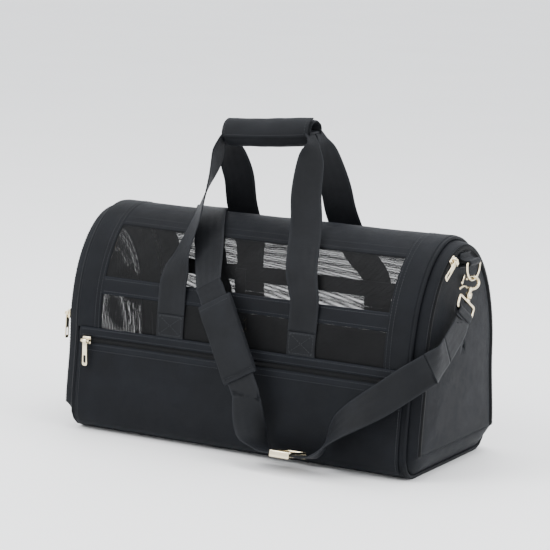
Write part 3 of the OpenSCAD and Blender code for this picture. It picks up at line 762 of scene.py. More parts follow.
def finish(name):
    """A finish by name, made once."""
    c = colours()
    makers = {
        "cloth": lambda: cloth_finish("cloth", c.cloth, 0.0009),
        "lining": lambda: cloth_finish("lining", shade(c.cloth, 0.8), 0.0012, (0.65, 0.8), 0.1),
        "webbing": lambda: cloth_finish("webbing", c.webbing, 0.0017, (0.45, 0.6), 0.3, 0.5, True),
        "pad_cloth": lambda: cloth_finish("pad_cloth", shade(c.webbing, 1.15), 0.0011, (0.55, 0.7), 0.3, 0.45),
        "piping": lambda: cloth_finish("piping", shade(c.cloth, 0.9), 0.001, (0.45, 0.6), 0.2, 0.3),
        "mesh": lambda: mesh_finish("mesh", c.mesh, 0.0016, 0.155),
        "tape": lambda: cloth_finish("tape", c.tape, 0.0008, (0.5, 0.65), 0.15, 0.3),
        "teeth": lambda: plain_finish("teeth", shade(c.tape, 1.3), 0.5, 200.0, 0.1, shine=0.2),
        "thread": lambda: plain_finish("thread", c.thread, 0.55, 400.0, 0.3, 0.0003),
        "gold": lambda: metal_finish("gold", c.metal),
        "steel": lambda: metal_finish("steel", (0.5, 0.5, 0.5), (0.3, 0.45)),
        "board": lambda: plain_finish("board", (0.10, 0.075, 0.045), 0.7, 120.0),
        "mat": lambda: cloth_finish("mat", c.mat, 0.0014, (0.75, 0.9), 0.5, 0.5),
        "floor": lambda: plain_finish("floor", c.floor, 0.6, 3.0, 0.02, spread=0.01),
    }
    if name not in FINISHES:
        FINISHES[name] = makers[name]()
    return FINISHES[name]


# ---------------------------------------------------------------- the barrel of the bag
def lower_shell():
    """The solid lower walls and the base, one padded panel from window to window."""
    s = sizes()
    top = place_at(WINDOW_Z)
    half = [FOOT + 12.5 * i for i in range(8)] + [-100 + (top + 100) * i / 16 for i in range(17)]
    path = [(FRONT, u) for u in reversed(half)] + [(BACK, u) for u in half]
    base = HALF_W - s.corner_radius
    flat = [(None, lerp(-base, base, i / 12)) for i in range(1, 12)]
    path = path[:len(half)] + flat + path[len(half):]
    run = [0.0]

    def point(side, u, x):
        if side is None:
            return Vector((x, u, 0)), Vector((0, 0, -1))
        return on_wall(side, x, u)
    for i in range(1, len(path)):
        run.append(run[-1] + (point(*path[i], 0)[0] - point(*path[i - 1], 0)[0]).length)

    def spot(i, x):
        p, out = point(*path[int(i)], x)
        return p - out * s.cloth, out
    obj = slab("lower_shell", spot, list(range(len(path))), steps(-BARREL_X, BARREL_X, 0.009, 0.002), s.cloth, 0.0015,
               lambda i, x: (x, run[int(i)]))
    finish_piece(obj, finish("cloth"), "shell", "cloth", "base_panel", "front_lower_panel", "back_lower_panel")


def windows():
    """Two rows of mesh on each side, with a woven strip between them."""
    s = sizes()
    for side, word in SIDES:
        for row, z0, z1 in (("lower", WINDOW_Z, STRIP_Z0), ("upper", STRIP_Z1, RIDGE_Z)):
            tuck = 0.002
            obj = wall_piece(f"mesh_{word}_{row}", side, z0 - tuck, z1 + tuck, -WINDOW_X - tuck, WINDOW_X + tuck,
                             -s.mesh, s.mesh, 0.012)
            finish_piece(obj, finish("mesh"), "shell", "mesh", f"{word}_window_{row}")
        obj = wall_piece(f"strip_{word}", side, STRIP_Z0 - 0.001, STRIP_Z1 + 0.001, -WINDOW_X - SEAM, WINDOW_X + SEAM,
                         -s.band / 2, s.band)
        finish_piece(obj, finish("cloth"), "shell", "webbing", f"{word}_mid_strip")
        for z in (STRIP_Z0 + 0.0025, STRIP_Z1 - 0.0025):
            sew_wall("shell", side, -WINDOW_X, WINDOW_X, z, s.band / 2 + 0.0001)


def arch_band(name, z0, x0, x1, lift, thick, nodes, material="cloth", cell=0.009):
    """A band of cloth over the ridge, from height z0 at the front to z0 at the back."""
    u0 = place_at(z0)
    count = max(6, round(arc_length(u0, RIDGE) / cell))
    half = [lerp(u0, RIDGE, i / count) for i in range(count)]
    path = [(FRONT, u) for u in half] + [(FRONT, RIDGE)] + [(BACK, u) for u in reversed(half)]
    edge = thick * 0.7 / (arc_length(u0, RIDGE) / count)
    middle = [on_wall(side, 0, u)[0] for side, u in path]
    run = [0.0]
    for a, b in zip(middle, middle[1:]):
        run.append(run[-1] + (b - a).length)
    last = len(path) - 1
    rows = [0, edge * 0.3, edge] + list(range(1, last)) + [last - edge, last - edge * 0.3, last]

    def spot(i, x):
        k = min(last - 1, int(i))
        f = i - k
        (side_a, ua), (side_b, ub) = path[k], path[k + 1]
        a, na = on_wall(side_a, x, ua, lift)
        b, nb = on_wall(side_b, x, ub, lift)
        return a.lerp(b, f), na.lerp(nb, f).normalized()
    obj = slab(name, spot, rows, steps(x0, x1, cell, 0.0014), thick, 0.0014, lambda i, x: (x, run[min(last, int(i))]))
    return finish_piece(obj, finish(material), "shell", "cloth", *nodes)


def bands():
    """The band over the ridge, and one band at each end beside the windows."""
    s = sizes()
    rows = (SEAM, 0.008)
    arch_band("ridge_cover", RIDGE_Z, -WINDOW_X - SEAM, WINDOW_X + SEAM, -s.cloth + 0.0006, s.cloth, ["ridge_band"])
    for side in (FRONT, BACK):
        for inset in rows:
            sew_wall("shell", side, -WINDOW_X, WINDOW_X, RIDGE_Z + inset, 0.0008)
    for word, end in ENDS.items():
        x0, x1 = sorted((end * WINDOW_X, end * BARREL_X))
        arch_band(f"end_cover_{word}", WINDOW_Z, x0, x1, -s.cloth + 0.0009, s.cloth, [f"end_band_{word}"])
        for side in (FRONT, BACK):
            for inset in rows:
                u0, u1 = place_at(WINDOW_Z), 88
                sew("shell", [on_wall(side, end * (WINDOW_X + inset), lerp(u0, u1, i / 40), 0.0011)
                              for i in range(41)])


def section_loop(inset, x, foot=None, parts=30):
    """Points round the outline of the cross-section, inset from it, in order from the front foot over
    the ridge to the back foot, and then along the bottom. With foot the loop is closed at that height."""
    u0 = place_at(foot if foot is not None else DOOR_FOOT)
    points = []
    over = [lerp(u0, 0, i / 10) for i in range(10)]
    over += [lerp(0, RIDGE, (i / parts) ** 0.92) for i in range(parts)] + [RIDGE]
    for side, turn in ((FRONT, over), (BACK, over[-2::-1])):
        points += [wall_point(side, x, u, -inset) for u in turn]
    under = 24
    if foot is None:
        for i in range(1, under):
            f = i / under
            side = BACK if f < 0.5 else FRONT
            flat = HALF_W - sizes().corner_radius
            length = abs(1 - 2 * f) * (arc_length(FOOT, u0) + flat)
            if length > flat:
                points.append(wall_point(side, x, place_along(length - flat), -inset))
            else:
                points.append(Vector((x, side * length, inset)))
    else:
        a, b = points[-1], points[0]
        points += [a.lerp(b, i / under) for i in range(1, under)]
    return points


def place_along(length):
    """The place u that lies a length along the wall from the middle of the bottom corner's start."""
    corner = math.pi / 2 * sizes().corner_radius
    if length < corner:
        return FOOT + 100 * length / corner
    return -100 + 100 * (length - corner) / (sizes().spring_height - sizes().corner_radius)


def loft(name, loops, closed=True, uv=None):
    """A skin through loops that have the same number of points."""
    n = len(loops[0])
    verts = [p for loop in loops for p in loop]
    uvs = []
    reach = 0.0
    for i, loop in enumerate(loops):
        if i:
            reach += (loop[0] - loops[i - 1][0]).length
        run = 0.0
        for k, p in enumerate(loop):
            if k:
                run += (p - loop[k - 1]).length
            uvs.append(uv(p) if uv else (run, reach))
    faces = ring_faces(len(loops), n, caps=False)
    if not closed:
        faces = [face for i, face in enumerate(faces) if i % n < n - 1]
    return new_object(name, verts, faces, uvs)


def thicken(obj, thick, levels=0):
    """Gives an open skin a thickness inwards, and rounds it if levels is above 0."""
    bm_normals_out(obj)
    shell = obj.modifiers.new("thickness", "SOLIDIFY")
    shell.thickness = thick
    shell.offset = -1.0
    if levels:
        round_it = obj.modifiers.new("round", "SUBSURF")
        round_it.levels = levels
        round_it.render_levels = levels
    return apply_modifiers(obj)


def bm_normals_out(obj):
    """Turns a skin's faces to point away from the middle of the bag."""
    work = bmesh.new()
    work.from_mesh(obj.data)
    bmesh.ops.recalc_face_normals(work, faces=work.faces)
    work.normal_update()
    middle = Vector((0, 0, BAG_H / 2))
    lean = sum((face.calc_center_median() - middle).dot(face.normal) * face.calc_area() for face in work.faces)
    if lean < 0:
        bmesh.ops.reverse_faces(work, faces=work.faces)
    work.to_mesh(obj.data)
    work.free()


def piping():
    """The corded edge along both end seams, with its lip of cloth."""
    radius = 0.0024
    parts = []
    for end in (1, -1):
        loop = section_loop(radius, end * (HALF_L - radius * 0.9))
        loop = [p + Vector((end * 0.0004 * noise.noise(p * 30), 0, 0)) for p in loop]
        parts.append(tube("", loop, radius, 12, True, link=False))
        lip = section_loop(0.0012, end * (BARREL_X + 0.0002))
        parts.append(tube("", lip, 0.0011, 8, True, link=False))
    finish_piece(joined("corded_edge", parts), finish("piping"), "shell", "cloth", "rim_piping")


# ---------------------------------------------------------------- the ends
def dome_height(word, f):
    """How far a door stands out past its zip, f of the way from its middle to its edge."""
    s = sizes()
    reach = s.left_dome if word == "left" else s.right_dome
    return reach * (1 - f * f) ** 0.8


def door_loops(word, x, inset, foot, shares):
    """Loops from a door's edge towards its middle, on its dome."""
    end = ENDS[word]
    outline = section_loop(inset, 0.0, foot)
    middle = Vector((0, 0, lerp(DOOR_FOOT, BAG_H, 0.47)))
    loops = []
    for f in shares:
        loop = []
        for p in outline:
            q = middle.lerp(p, f)
            fold = noise.noise(Vector((end * 3, q.y * 14, q.z * 9))) * 0.0012 * (1 - f ** 4)
            loop.append(Vector((end * (x + dome_height(word, f) + fold), q.y, q.z)))
        loops.append(loop)
    return loops


def flat_uv(p):
    return p.y, p.z


def sew_loop(group, end, row):
    """Stitches all the way round a loop on an end of the bag."""
    sew(group, [(p, Vector((end, 0, 0))) for p in row + row[:1]])


def ends():
    """The two end panels: a padded border, a zip, and a door of cloth or of mesh."""
    s = sizes()
    half_zip = 0.0035
    play = 0.0004
    door_inset = s.zip_inset + half_zip + play
    border_inset = s.zip_inset - half_zip - play
    for word, end in ENDS.items():
        outer = section_loop(0.0042, 0.0)
        inner = section_loop(border_inset, 0.0, DOOR_FOOT - play)
        loops = []
        for i in range(9):
            f = i / 8
            out = math.sin(f * math.pi / 2)
            x = lerp(HALF_L - 0.002, DOOR_FACE, out)
            loops.append([Vector((end * (x + 0.0008 * noise.noise(Vector((end, a.y * 20, a.z * 20))) * f * (1 - f) * 4),
                                  lerp(a.y, b.y, f), lerp(a.z, b.z, f))) for a, b in zip(outer, inner)])
        border = thicken(loft(f"end_frame_{word}", loops), 0.0022)
        finish_piece(border, finish("cloth"), "shell", "cloth", f"end_border_{word}")
        edge_row = section_loop(border_inset - 0.0002, 0.0, DOOR_FOOT - play)
        sew("shell", [(Vector((end * (DOOR_FACE - 0.0002), p.y * 1.008, p.z)), Vector((end, 0, 0))) for p in edge_row])
        zip_pair(word, end, s.zip_inset, half_zip, play)
        shares = [1, 0.985, 0.95, 0.88, 0.8, 0.7, 0.6, 0.5, 0.4, 0.3, 0.2, 0.1, 0.02]
        if word == "right":
            panel = thicken(loft("door_panel_right", door_loops(word, DOOR_FACE, door_inset, DOOR_FOOT, shares),
                                 uv=flat_uv), s.cloth)
            finish_piece(close_middle(panel), finish("cloth"), "right_door", "cloth", "door_right")
        else:
            mesh_door(word, end, door_inset, play)
        row = door_loops(word, DOOR_FACE + 0.0002, door_inset + SEAM, DOOR_FOOT + SEAM, [1])[0]
        sew_loop(f"{word}_door", end, row)


def close_middle(obj):
    """Fills the small hole left in the middle of a domed panel."""
    work = bmesh.new()
    work.from_mesh(obj.data)
    bmesh.ops.holes_fill(work, edges=[e for e in work.edges if e.is_boundary], sides=0)
    bmesh.ops.remove_doubles(work, verts=work.verts, dist=1e-6)
    bmesh.ops.recalc_face_normals(work, faces=work.faces)
    work.to_mesh(obj.data)
    work.free()
    return obj


def mesh_door(word, end, door_inset, play):
    """The left door: a solid frame round a window of mesh."""
    s = sizes()
    frame_shares = [1, 0.985, 0.95, 0.9, 0.86]
    loops = door_loops(word, DOOR_FACE, door_inset, DOOR_FOOT, frame_shares)
    border = thicken(loft("door_frame_left", loops, uv=flat_uv), s.cloth)
    finish_piece(border, finish("cloth"), "left_door", "cloth", "door_left")
    shares = [0.87, 0.8, 0.7, 0.6, 0.5, 0.4, 0.3, 0.2, 0.1, 0.02]
    loops = door_loops(word, DOOR_FACE - s.cloth * 0.5, door_inset, DOOR_FOOT, shares)
    window = thicken(close_middle(loft("door_window_left", loops, uv=flat_uv)), s.mesh)
    finish_piece(window, finish("mesh"), "left_door", "mesh", "door_mesh_left")
    for share in (0.875, 0.9):
        sew_loop("left_door", end, door_loops(word, DOOR_FACE + 0.0003, door_inset, DOOR_FOOT, [share])[0])


def tape_strip(name, end, inset0, inset1, foot, lift, thick):
    """A zip's tape along the arch of a door, between two insets from the outline."""
    loops = []
    for f, h in ((0, -0.5), (0.12, 0.5), (0.88, 0.5), (1, -0.5)):
        inset = lerp(inset0, inset1, f)
        loops.append(section_loop(inset, end * (DOOR_FACE + lift + h * thick), foot)[:OPEN_ARCH])
    return loft(name, loops, closed=False)


def zip_pair(word, end, inset, half_zip, play):
    """A door's zip: a tape with teeth on the border, and one on the door."""
    pitch = sizes().tooth
    halves = (("border", inset - half_zip, inset - play / 2, "shell", 1),
              ("door", inset + play / 2, inset + half_zip, f"{word}_door", -1))
    for part, inset0, inset1, body, lean in halves:
        obj = tape_strip(f"zip_tape_{part}_{word}", end, inset0, inset1, DOOR_FOOT, -0.0002, 0.0012)
        bm_normals_out(obj)
        finish_piece(thicken(obj, 0.0006), finish("tape"), body, "zip_tape")
        line = section_loop(inset, end * (DOOR_FACE + 0.0004), DOOR_FOOT)[:OPEN_ARCH]
        path = [(p, Vector((end, 0, 0))) for p in line]
        v, f, t = teeth(path, lean * end, pitch)
        chain = new_object(f"zip_teeth_{part}_{word}", v, f, t, smooth_shade=False)
        nodes = [f"door_zip_{word}"] if part == "door" else (["border_zips"] if word == "right" else [])
        finish_piece(chain, finish("teeth"), body, "zip_tape", *nodes)


# ---------------------------------------------------------------- the front pocket
def pocket():
    """The pocket's panel, the welt above it, and the zip between them."""
    s = sizes()
    panel = wall_piece("pocket_front", FRONT, 0.008, HEM_Z, -POCKET_X, POCKET_X, 0.0002, s.band)
    finish_piece(panel, finish("cloth"), "shell", "cloth", "pocket_panel")
    welt = wall_piece("pocket_welt", FRONT, WELT_Z, WINDOW_Z + 0.001, -POCKET_X, POCKET_X, 0.0002, s.band * 1.15)
    finish_piece(welt, finish("cloth"), "shell", "webbing", "zip_welt")
    tape = wall_piece("pocket_zip_tape", FRONT, HEM_Z - 0.002, WELT_Z + 0.002, -POCKET_X, POCKET_X, 0.0001, 0.0011)
    finish_piece(tape, finish("tape"), "shell", "zip_tape", "pocket_zip")
    u = place_at((HEM_Z + WELT_Z) / 2)
    path = [on_wall(FRONT, x, u, 0.0012) for x in steps(-POCKET_X + 0.004, POCKET_X - 0.004, 0.01)]
    parts = [teeth(path, lean, s.tooth) for lean in (1, -1)]
    finish_piece(joined("pocket_zip_teeth", parts), finish("teeth"), "shell", "zip_tape")
    for z, lift in ((HEM_Z - 0.0022, s.band), (HEM_Z - 0.0085, s.band), (WELT_Z + 0.0022, s.band * 1.15),
                    (WINDOW_Z - 0.0015, s.band * 1.15)):
        sew_wall("shell", FRONT, -POCKET_X + 0.003, POCKET_X - 0.003, z, lift + 0.0003)
    for x in (-POCKET_X + 0.003, POCKET_X - 0.003):
        sew_up("shell", FRONT, x, 0.012, HEM_Z - 0.002, s.band + 0.0003)


# ---------------------------------------------------------------- zip sliders and pulls
def slider_parts(place):
    """A zip slider standing on its own Z = 0 and running along X."""
    length, width, height = 0.011, 0.0088, 0.003
    bar_z = 0.0062
    body = block((-length / 2, -width / 2, 0), (length / 2, width / 2, height), place, 0.0012)
    rib = block((-length * 0.28, -width * 0.3, height - 0.0004), (length * 0.32, width * 0.3, height + 0.0007),
                place, 0.0006)
    return [body, rib], bar_z


def bridge(place, bar_z, lug_x=0.0039):
    """The slider's bridge, a bar between two lugs, along its own X."""
    parts = [block((x - 0.0008, -0.0015, 0.0022), (x + 0.0008, 0.0015, bar_z + 0.0008), place, 0.0004)
             for x in (-lug_x - 0.0007, lug_x + 0.0007)]
    bar = [place @ Vector((x, 0, bar_z)) for x in (-lug_x - 0.001, 0, lug_x + 0.001)]
    parts.append(tube("", bar, 0.0009, 12, link=False))
    return parts


def rounded_outline(w, l, r, corners=5):
    """Points round a rectangle with round corners, w wide and from 0 to -l long."""
    points = []
    for cx, cy, start in ((w / 2 - r, -r, 0), (-w / 2 + r, -r, 90),
                          (-w / 2 + r, -l + r, 180), (w / 2 - r, -l + r, 270)):
        for i in range(corners):
            turn = math.radians(start + 90 * i / (corners - 1))
            points.append((cx + r * math.cos(turn), cy + r * math.sin(turn)))
    return points


def pull_parts(place, bar_z):
    """A pull: an eye on the bar, a tapering blade, and a window near its end."""
    thick, width, length = 0.0013, 0.007, 0.030
    outer = rounded_outline(width, length, 0.0022)
    outer = [(x * lerp(0.82, 1.0, min(1.0, -y / length)), y) for x, y in outer]
    hole = [(x, y - length + 0.0125) for x, y in rounded_outline(0.0034, 0.009, 0.0012)]
    verts, faces = [], []
    n = len(outer)
    for sign in (1, -1):
        for ring, height, share in ((outer, 0.6, 1.0), (outer, 1.0, 0.93), (hole, 1.0, 1.12), (hole, 0.6, 1.0)):
            cy = sum(p[1] for p in ring) / n
            for x, y in ring:
                verts.append(place @ Vector((x * share, cy + (y - cy) * lerp(1, share, 0.4),
                                             bar_z + sign * thick / 2 * height)))
    for layer in range(2):
        base = layer * 4 * n
        for ring in range(3):
            for k in range(n):
                a, b = base + ring * n + k, base + ring * n + (k + 1) % n
                quad = (a, b, b + n, a + n)
                faces.append(quad if layer == 0 else quad[::-1])
    for k in range(n):
        j = (k + 1) % n
        faces.append((k, 4 * n + k, 4 * n + j, j))
        faces.append((3 * n + k, 3 * n + j, 7 * n + j, 7 * n + k))
    plate = (verts, faces, blank_uv(verts))
    ring_verts, eye_faces = [], []
    for x in (-width * 0.42, -width * 0.36, width * 0.36, width * 0.42):
        for r in (0.00135, 0.0024 if abs(x) > width * 0.4 else 0.0026):
            for k in range(16):
                turn = 2 * math.pi * k / 16
                ring_verts.append(place @ Vector((x, r * math.cos(turn), bar_z + r * math.sin(turn))))
    for i in range(3):
        for k in range(16):
            j = (k + 1) % 16
            a, b = i * 32, (i + 1) * 32
            eye_faces.append((a + 16 + k, a + 16 + j, b + 16 + j, b + 16 + k))
            eye_faces.append((a + j, a + k, b + k, b + j))
    for k in range(16):
        j = (k + 1) % 16
        eye_faces.append((k, j, 16 + j, 16 + k))
        eye_faces.append((96 + j, 96 + k, 112 + k, 112 + j))
    return [plate, (ring_verts, eye_faces, blank_uv(ring_verts))]


def axes_at(origin, x, y, z):
    """A place from an origin and three directions."""
    m = Matrix((x, y, z)).transposed().to_4x4()
    m.translation = origin
    return m


def sliders():
    """The slider and pull of each zip, hanging as they do with the zips closed."""
    zip_top = DOOR_FACE + 0.0009
    spots = []
    for word, end in ENDS.items():
        pull = JOINTS[f"{word}_pull_swing"]
        bar = Vector(pull["axis"]).normalized()
        out = Vector((end, 0, 0))
        at = Vector(pull["pos_m"])
        hang = out.cross(bar).normalized() if out.cross(bar).z < 0 else -out.cross(bar).normalized()
        base = Vector((end * zip_top, at.y, at.z))
        spots.append((word, base, hang, out, True))
    pull = JOINTS["pocket_pull_swing"]
    at = Vector(pull["pos_m"])
    base = Vector((at.x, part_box("pocket_slider")[1].y, at.z))
    spots.append(("pocket", base, Vector((0, 0, -1)), Vector((0, -1, 0)), False))
    for word, base, hang, out, along in spots:
        bodies = (f"{word}_slider", f"{word}_pull")
        names = bodies if word == "pocket" else (f"slider_{word}", f"pull_{word}")
        hanging = axes_at(base, (-hang).cross(out), -hang, out)
        running = axes_at(base, hang, out.cross(hang), out) if along else hanging
        body, bar_z = slider_parts(running)
        slider = mend(joined(f"zip_slider_{word}", body + bridge(hanging, bar_z)))
        finish_piece(slider, finish("gold"), bodies[0], "hardware", names[0])
        pull_piece = mend(joined(f"zip_pull_{word}", pull_parts(hanging, bar_z)))
        finish_piece(pull_piece, finish("gold"), bodies[1], "hardware", names[1])


# ---------------------------------------------------------------- rings and hooks of the shoulder strap
def ring_path(place, width, height, r):
    """A D shape, its straight bar along Y at the top and its bow downwards."""
    leg = width / 2 + r
    drop = height - leg
    points = [Vector((0, y * leg, 0)) for y in (-0.8, -0.4, 0, 0.4, 0.8)]
    points += [Vector((0, leg * 0.96, -0.0006)), Vector((0, leg, -0.0022))]
    for i in range(17):
        turn = math.pi * i / 16
        points.append(Vector((0, leg * math.cos(turn), -drop - leg * math.sin(turn))))
    points += [Vector((0, -leg, -0.0022)), Vector((0, -leg * 0.96, -0.0006))]
    return [place @ p for p in points]


def hook_frame(word):
    """A hook's own axes: Z up along its leaning shank, X away from the bag."""
    end = ENDS[word]
    up = -Vector(JOINTS[f"{word}_bolt_slide"]["axis"]).normalized()
    out = Vector((end, 0, 0))
    return axes_at(Vector(JOINTS[f"{word}_hook_swing"]["pos_m"]), out, up.cross(out), up)


def rings_and_hooks():
    """At each end a D-ring, a trigger hook on it, the hook's bolt, and the loop that the strap is sewn round."""
    r = 0.0015
    claw = 0.0072
    bolt_r = 0.0012
    turn = math.radians(22)
    for word, end in ENDS.items():
        ring_at = Matrix.Translation(Vector(JOINTS[f"{word}_ring_swing"]["pos_m"]))
        ring = tube(f"d_shape_ring_{word}", ring_path(ring_at, 0.030, 0.020, r), r, 14, True)
        finish_piece(ring, finish("gold"), f"{word}_d_ring", "hardware", f"d_ring_{word}")
        place = hook_frame(word)
        drop = claw - 0.0016 - r - 0.0008
        claw_at = place @ Matrix.Translation((0, 0, -drop)) @ Matrix.Rotation(turn, 4, "Z")
        points, radii = [], []
        for i in range(23):
            f = i / 22
            a = math.radians(lerp(168, -115, f))
            points.append(claw_at @ Vector((claw * math.cos(a), 0, claw * math.sin(a))))
            radii.append(0.0016 * lerp(0.75, 1.12, smooth(f * 2)))
        points.append(claw_at @ Vector((-0.0016, 0, -claw * 0.99)))
        radii.append(0.0019)
        parts = [tube("", points, radii, 12, link=False)]
        neck = -drop - claw
        parts.append(turned([(0.0012, neck + 0.0016), (0.0024, neck + 0.0008), (0.0030, neck - 0.001),
                             (0.0024, neck - 0.0025), (0.0022, neck - 0.0045), (0.0036, neck - 0.0056),
                             (0.0037, neck - 0.0105), (0.0032, neck - 0.0115), (0.0021, neck - 0.0118)], place))
        lever = [claw_at @ Vector(p) for p in ((-0.0035, 0.0, -0.0075), (-0.0068, 0.0, -0.0062),
                                               (-0.0098, 0.0, -0.0078), (-0.0118, 0.0, -0.0108))]
        parts.append(tube("", curve_points(lever, 5), [0.0014] * 15 + [0.0016], 10, link=False))
        finish_piece(mend(joined(f"trigger_hook_{word}", parts)), finish("gold"), f"{word}_hook", "hardware",
                     f"snap_hook_{word}")
        gate_x = -claw - 0.0016 - 0.0004 - bolt_r
        gate = [claw_at @ Vector((gate_x, 0, z)) for z in (-0.005, -0.004, 0.0, 0.004, 0.0065, 0.007)]
        parts = [tube("", gate, [0.0008, 0.0011, 0.0011, 0.0011, 0.0010, 0.0006], 10, link=False),
                 block((gate_x - 0.0022, -bolt_r, -0.004), (gate_x, bolt_r, -0.0018), claw_at, 0.0006)]
        finish_piece(mend(joined(f"hook_bolt_{word}", parts)), finish("gold"), f"{word}_bolt", "hardware",
                     f"hook_gate_{word}")
        loop(word, place, neck)


def loop(word, place, neck):
    """The swivelling rectangle of wire that the strap is sewn round."""
    top, bottom, half = neck - 0.0150, neck - 0.0280, 0.021
    r = 0.0016
    corner = 0.0028
    stops = []
    for cy, cz, start in ((half - corner, top - corner, 0), (-half + corner, top - corner, 90),
                          (-half + corner, bottom + corner, 180), (half - corner, bottom + corner, 270)):
        for i in range(5):
            a = math.radians(start + 22.5 * i)
            stops.append(place @ Vector((0, cy + corner * math.cos(a), cz + corner * math.sin(a))))
    parts = [tube("", stops, r, 12, True, link=False)]
    parts.append(turned([(0.0019, neck - 0.0095), (0.0019, neck - 0.0125), (0.0030, neck - 0.0135),
                         (0.0032, neck - 0.0165), (0.0022, neck - 0.0172)], place))
    finish_piece(mend(joined(f"strap_loop_{word}", parts)), finish("gold"), f"{word}_loop", "hardware",
                 f"swivel_loop_{word}")


def ring_tabs():
    """Short webbing tabs that hold the D-rings, folded round the bar and sewn down in a box."""
    for word, end in ENDS.items():
        at = Vector(JOINTS[f"{word}_ring_swing"]["pos_m"])
        reach = abs(at.x) - DOOR_FACE
        out = Vector((end, 0, 0))
        across = Vector((0, 1, 0))
        tube_r = 0.0028
        stops = [(Vector((end * (DOOR_FACE + 0.0012 + 0.001), at.y, at.z + 0.010)), across, 1.0),
                 (Vector((end * (DOOR_FACE + 0.0014 + 0.001), at.y, at.z + 0.0045)), across, 1.0),
                 (at + Vector((-end * reach * 0.4, 0, 0.0024)), across, 1.0)]
        for i in range(7):
            a = math.radians(lerp(80, -110, i / 6))
            stops.append((at + Vector((end * tube_r * math.cos(a), 0, tube_r * math.sin(a))), across, 1.0))
        stops += [(at + Vector((-end * reach * 0.5, 0, -0.0036)), across, 1.0),
                  (Vector((end * (DOOR_FACE + 0.0012), at.y, at.z - 0.0055)), across, 1.0),
                  (Vector((end * (DOOR_FACE + 0.0006), at.y, at.z - 0.009)), across, 1.0)]
        tab = strap(f"ring_tab_web_{word}", stops, 0.026, 0.0015, 0.002)
        finish_piece(tab, finish("webbing"), f"{word}_door", "webbing", f"ring_tab_{word}")
        face = end * (DOOR_FACE + 0.0032)
        box = [Vector((face, at.y + y, at.z + z)) for y, z in ((-0.010, 0.0055), (0.010, 0.0055), (0.010, 0.009),
                                                              (-0.010, 0.009), (-0.010, 0.0055))]
        sew(f"{word}_door", [(p, out) for p in box], pitch=0.0025)


# ---------------------------------------------------------------- the carrying handles
GRIP_MIDDLE = (GRIP_LOW + GRIP_HIGH) / 2
GRIP_HALF = (GRIP_HIGH.x - GRIP_LOW.x) / 2
GRIP_R = (GRIP_HIGH.z - GRIP_LOW.z) / 2
FEET_LOW, FEET_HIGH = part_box("handle_bases_front")
HANDLE_X = (FEET_HIGH.x - FEET_LOW.x) / 2 - 0.018
HANDLE_MIDDLE_X = (FEET_HIGH.x + FEET_LOW.x) / 2
HANDLE_BASE_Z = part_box("handle_leg_front_right")[0].z


def grip_rise(x):
    """How far the grip's middle line lies above the middle of its box, at a place along it."""
    tilt = sizes().grip_tilt * 0.5
    f = (x - GRIP_MIDDLE.x) / GRIP_HALF
    return tilt * f - 0.0012 * (1 - f * f) - 0.001


def handle_bases():
    """The sewn-down feet of the handles, with a crossed box of stitches on each."""
    s = sizes()
    half = s.webbing_width / 2
    z0, z1 = WINDOW_Z + 0.0006, HANDLE_BASE_Z - 0.0006
    for side, word in SIDES:
        for hand, end in ENDS.items():
            x = HANDLE_MIDDLE_X + end * HANDLE_X
            foot = wall_piece(f"handle_foot_{word}_{hand}", side, z0, z1, x - half, x + half, 0.0002, s.webbing, 0.004)
            nodes = [f"handle_bases_{word}"] if end > 0 else []
            finish_piece(foot, finish("webbing"), "shell", "webbing", *nodes)
            lift = s.webbing + 0.0003
            a, b = x - half + SEAM, x + half - SEAM
            for z in (z0 + SEAM, z1 - 0.002):
                sew_wall("shell", side, a, b, z, lift, 0.004)
            for edge in (a, b):
                sew_up("shell", side, edge, z0 + SEAM, z1 - 0.002, lift)
            u0, u1 = place_at(z0 + SEAM), place_at(z1 - 0.002)
            for p, q in ((a, b), (b, a)):
                sew("shell", [on_wall(side, lerp(p, q, i / 10), lerp(u0, u1, i / 10), lift) for i in range(11)])


def leg_stops(side, end):
    """The route of one leg, from its foot up to the grip. Each leg turns edge-on as it leaves the bag."""
    s = sizes()
    foot_x = HANDLE_MIDDLE_X + end * HANDLE_X
    top_x = GRIP_MIDDLE.x + end * (GRIP_HALF + 0.0011)
    grip_z = GRIP_MIDDLE.z + grip_rise(top_x)
    entry_y = side * 0.0106
    lean = -1 if side == FRONT and end < 0 else 1

    def across(turn):
        return Vector((math.cos(math.radians(turn)), lean * math.sin(math.radians(turn)), 0))

    def beside(x, z, d):
        return on_wall(side, x, place_at(z), d)[0]
    bend_z = 0.218      # the height where a leg leaves the wall
    lift = 0.0002 + s.webbing / 2
    hang = (0.62, 0.76) if side == BACK and end > 0 else (0.3, 0.55)
    turns = (8, 36, 52, 66, 84) if lean < 0 else (5, 20, 34, 48, 62)
    return [
        (beside(foot_x, HANDLE_BASE_Z - 0.0004, lift + 0.0004), across(0), 1.0),
        (beside(foot_x, STRIP_Z1, 0.0055), across(1), 1.0),
        (beside(lerp(foot_x, top_x, hang[0] * 0.4), lerp(STRIP_Z1, bend_z, 0.45), 0.0078), across(turns[0]), 1.0),
        (beside(lerp(foot_x, top_x, hang[0]), bend_z, 0.011), across(turns[1]), 1.0),
        (Vector((lerp(foot_x, top_x, hang[1]), side * 0.050, 0.262)), across(turns[2]), 1.0),
        (Vector((lerp(foot_x, top_x, 0.8), side * 0.0345, 0.297)), across(turns[3]), 1.0),
        (Vector((top_x + end * 0.003, entry_y * 1.6, grip_z - 0.027)), across(turns[4]), 0.92),
        (Vector((top_x + end * 0.002, entry_y * 1.1, grip_z - 0.010)), across(86), 0.6),
        (Vector((top_x - end * 0.004, entry_y, grip_z)), across(90), 0.5),
    ]


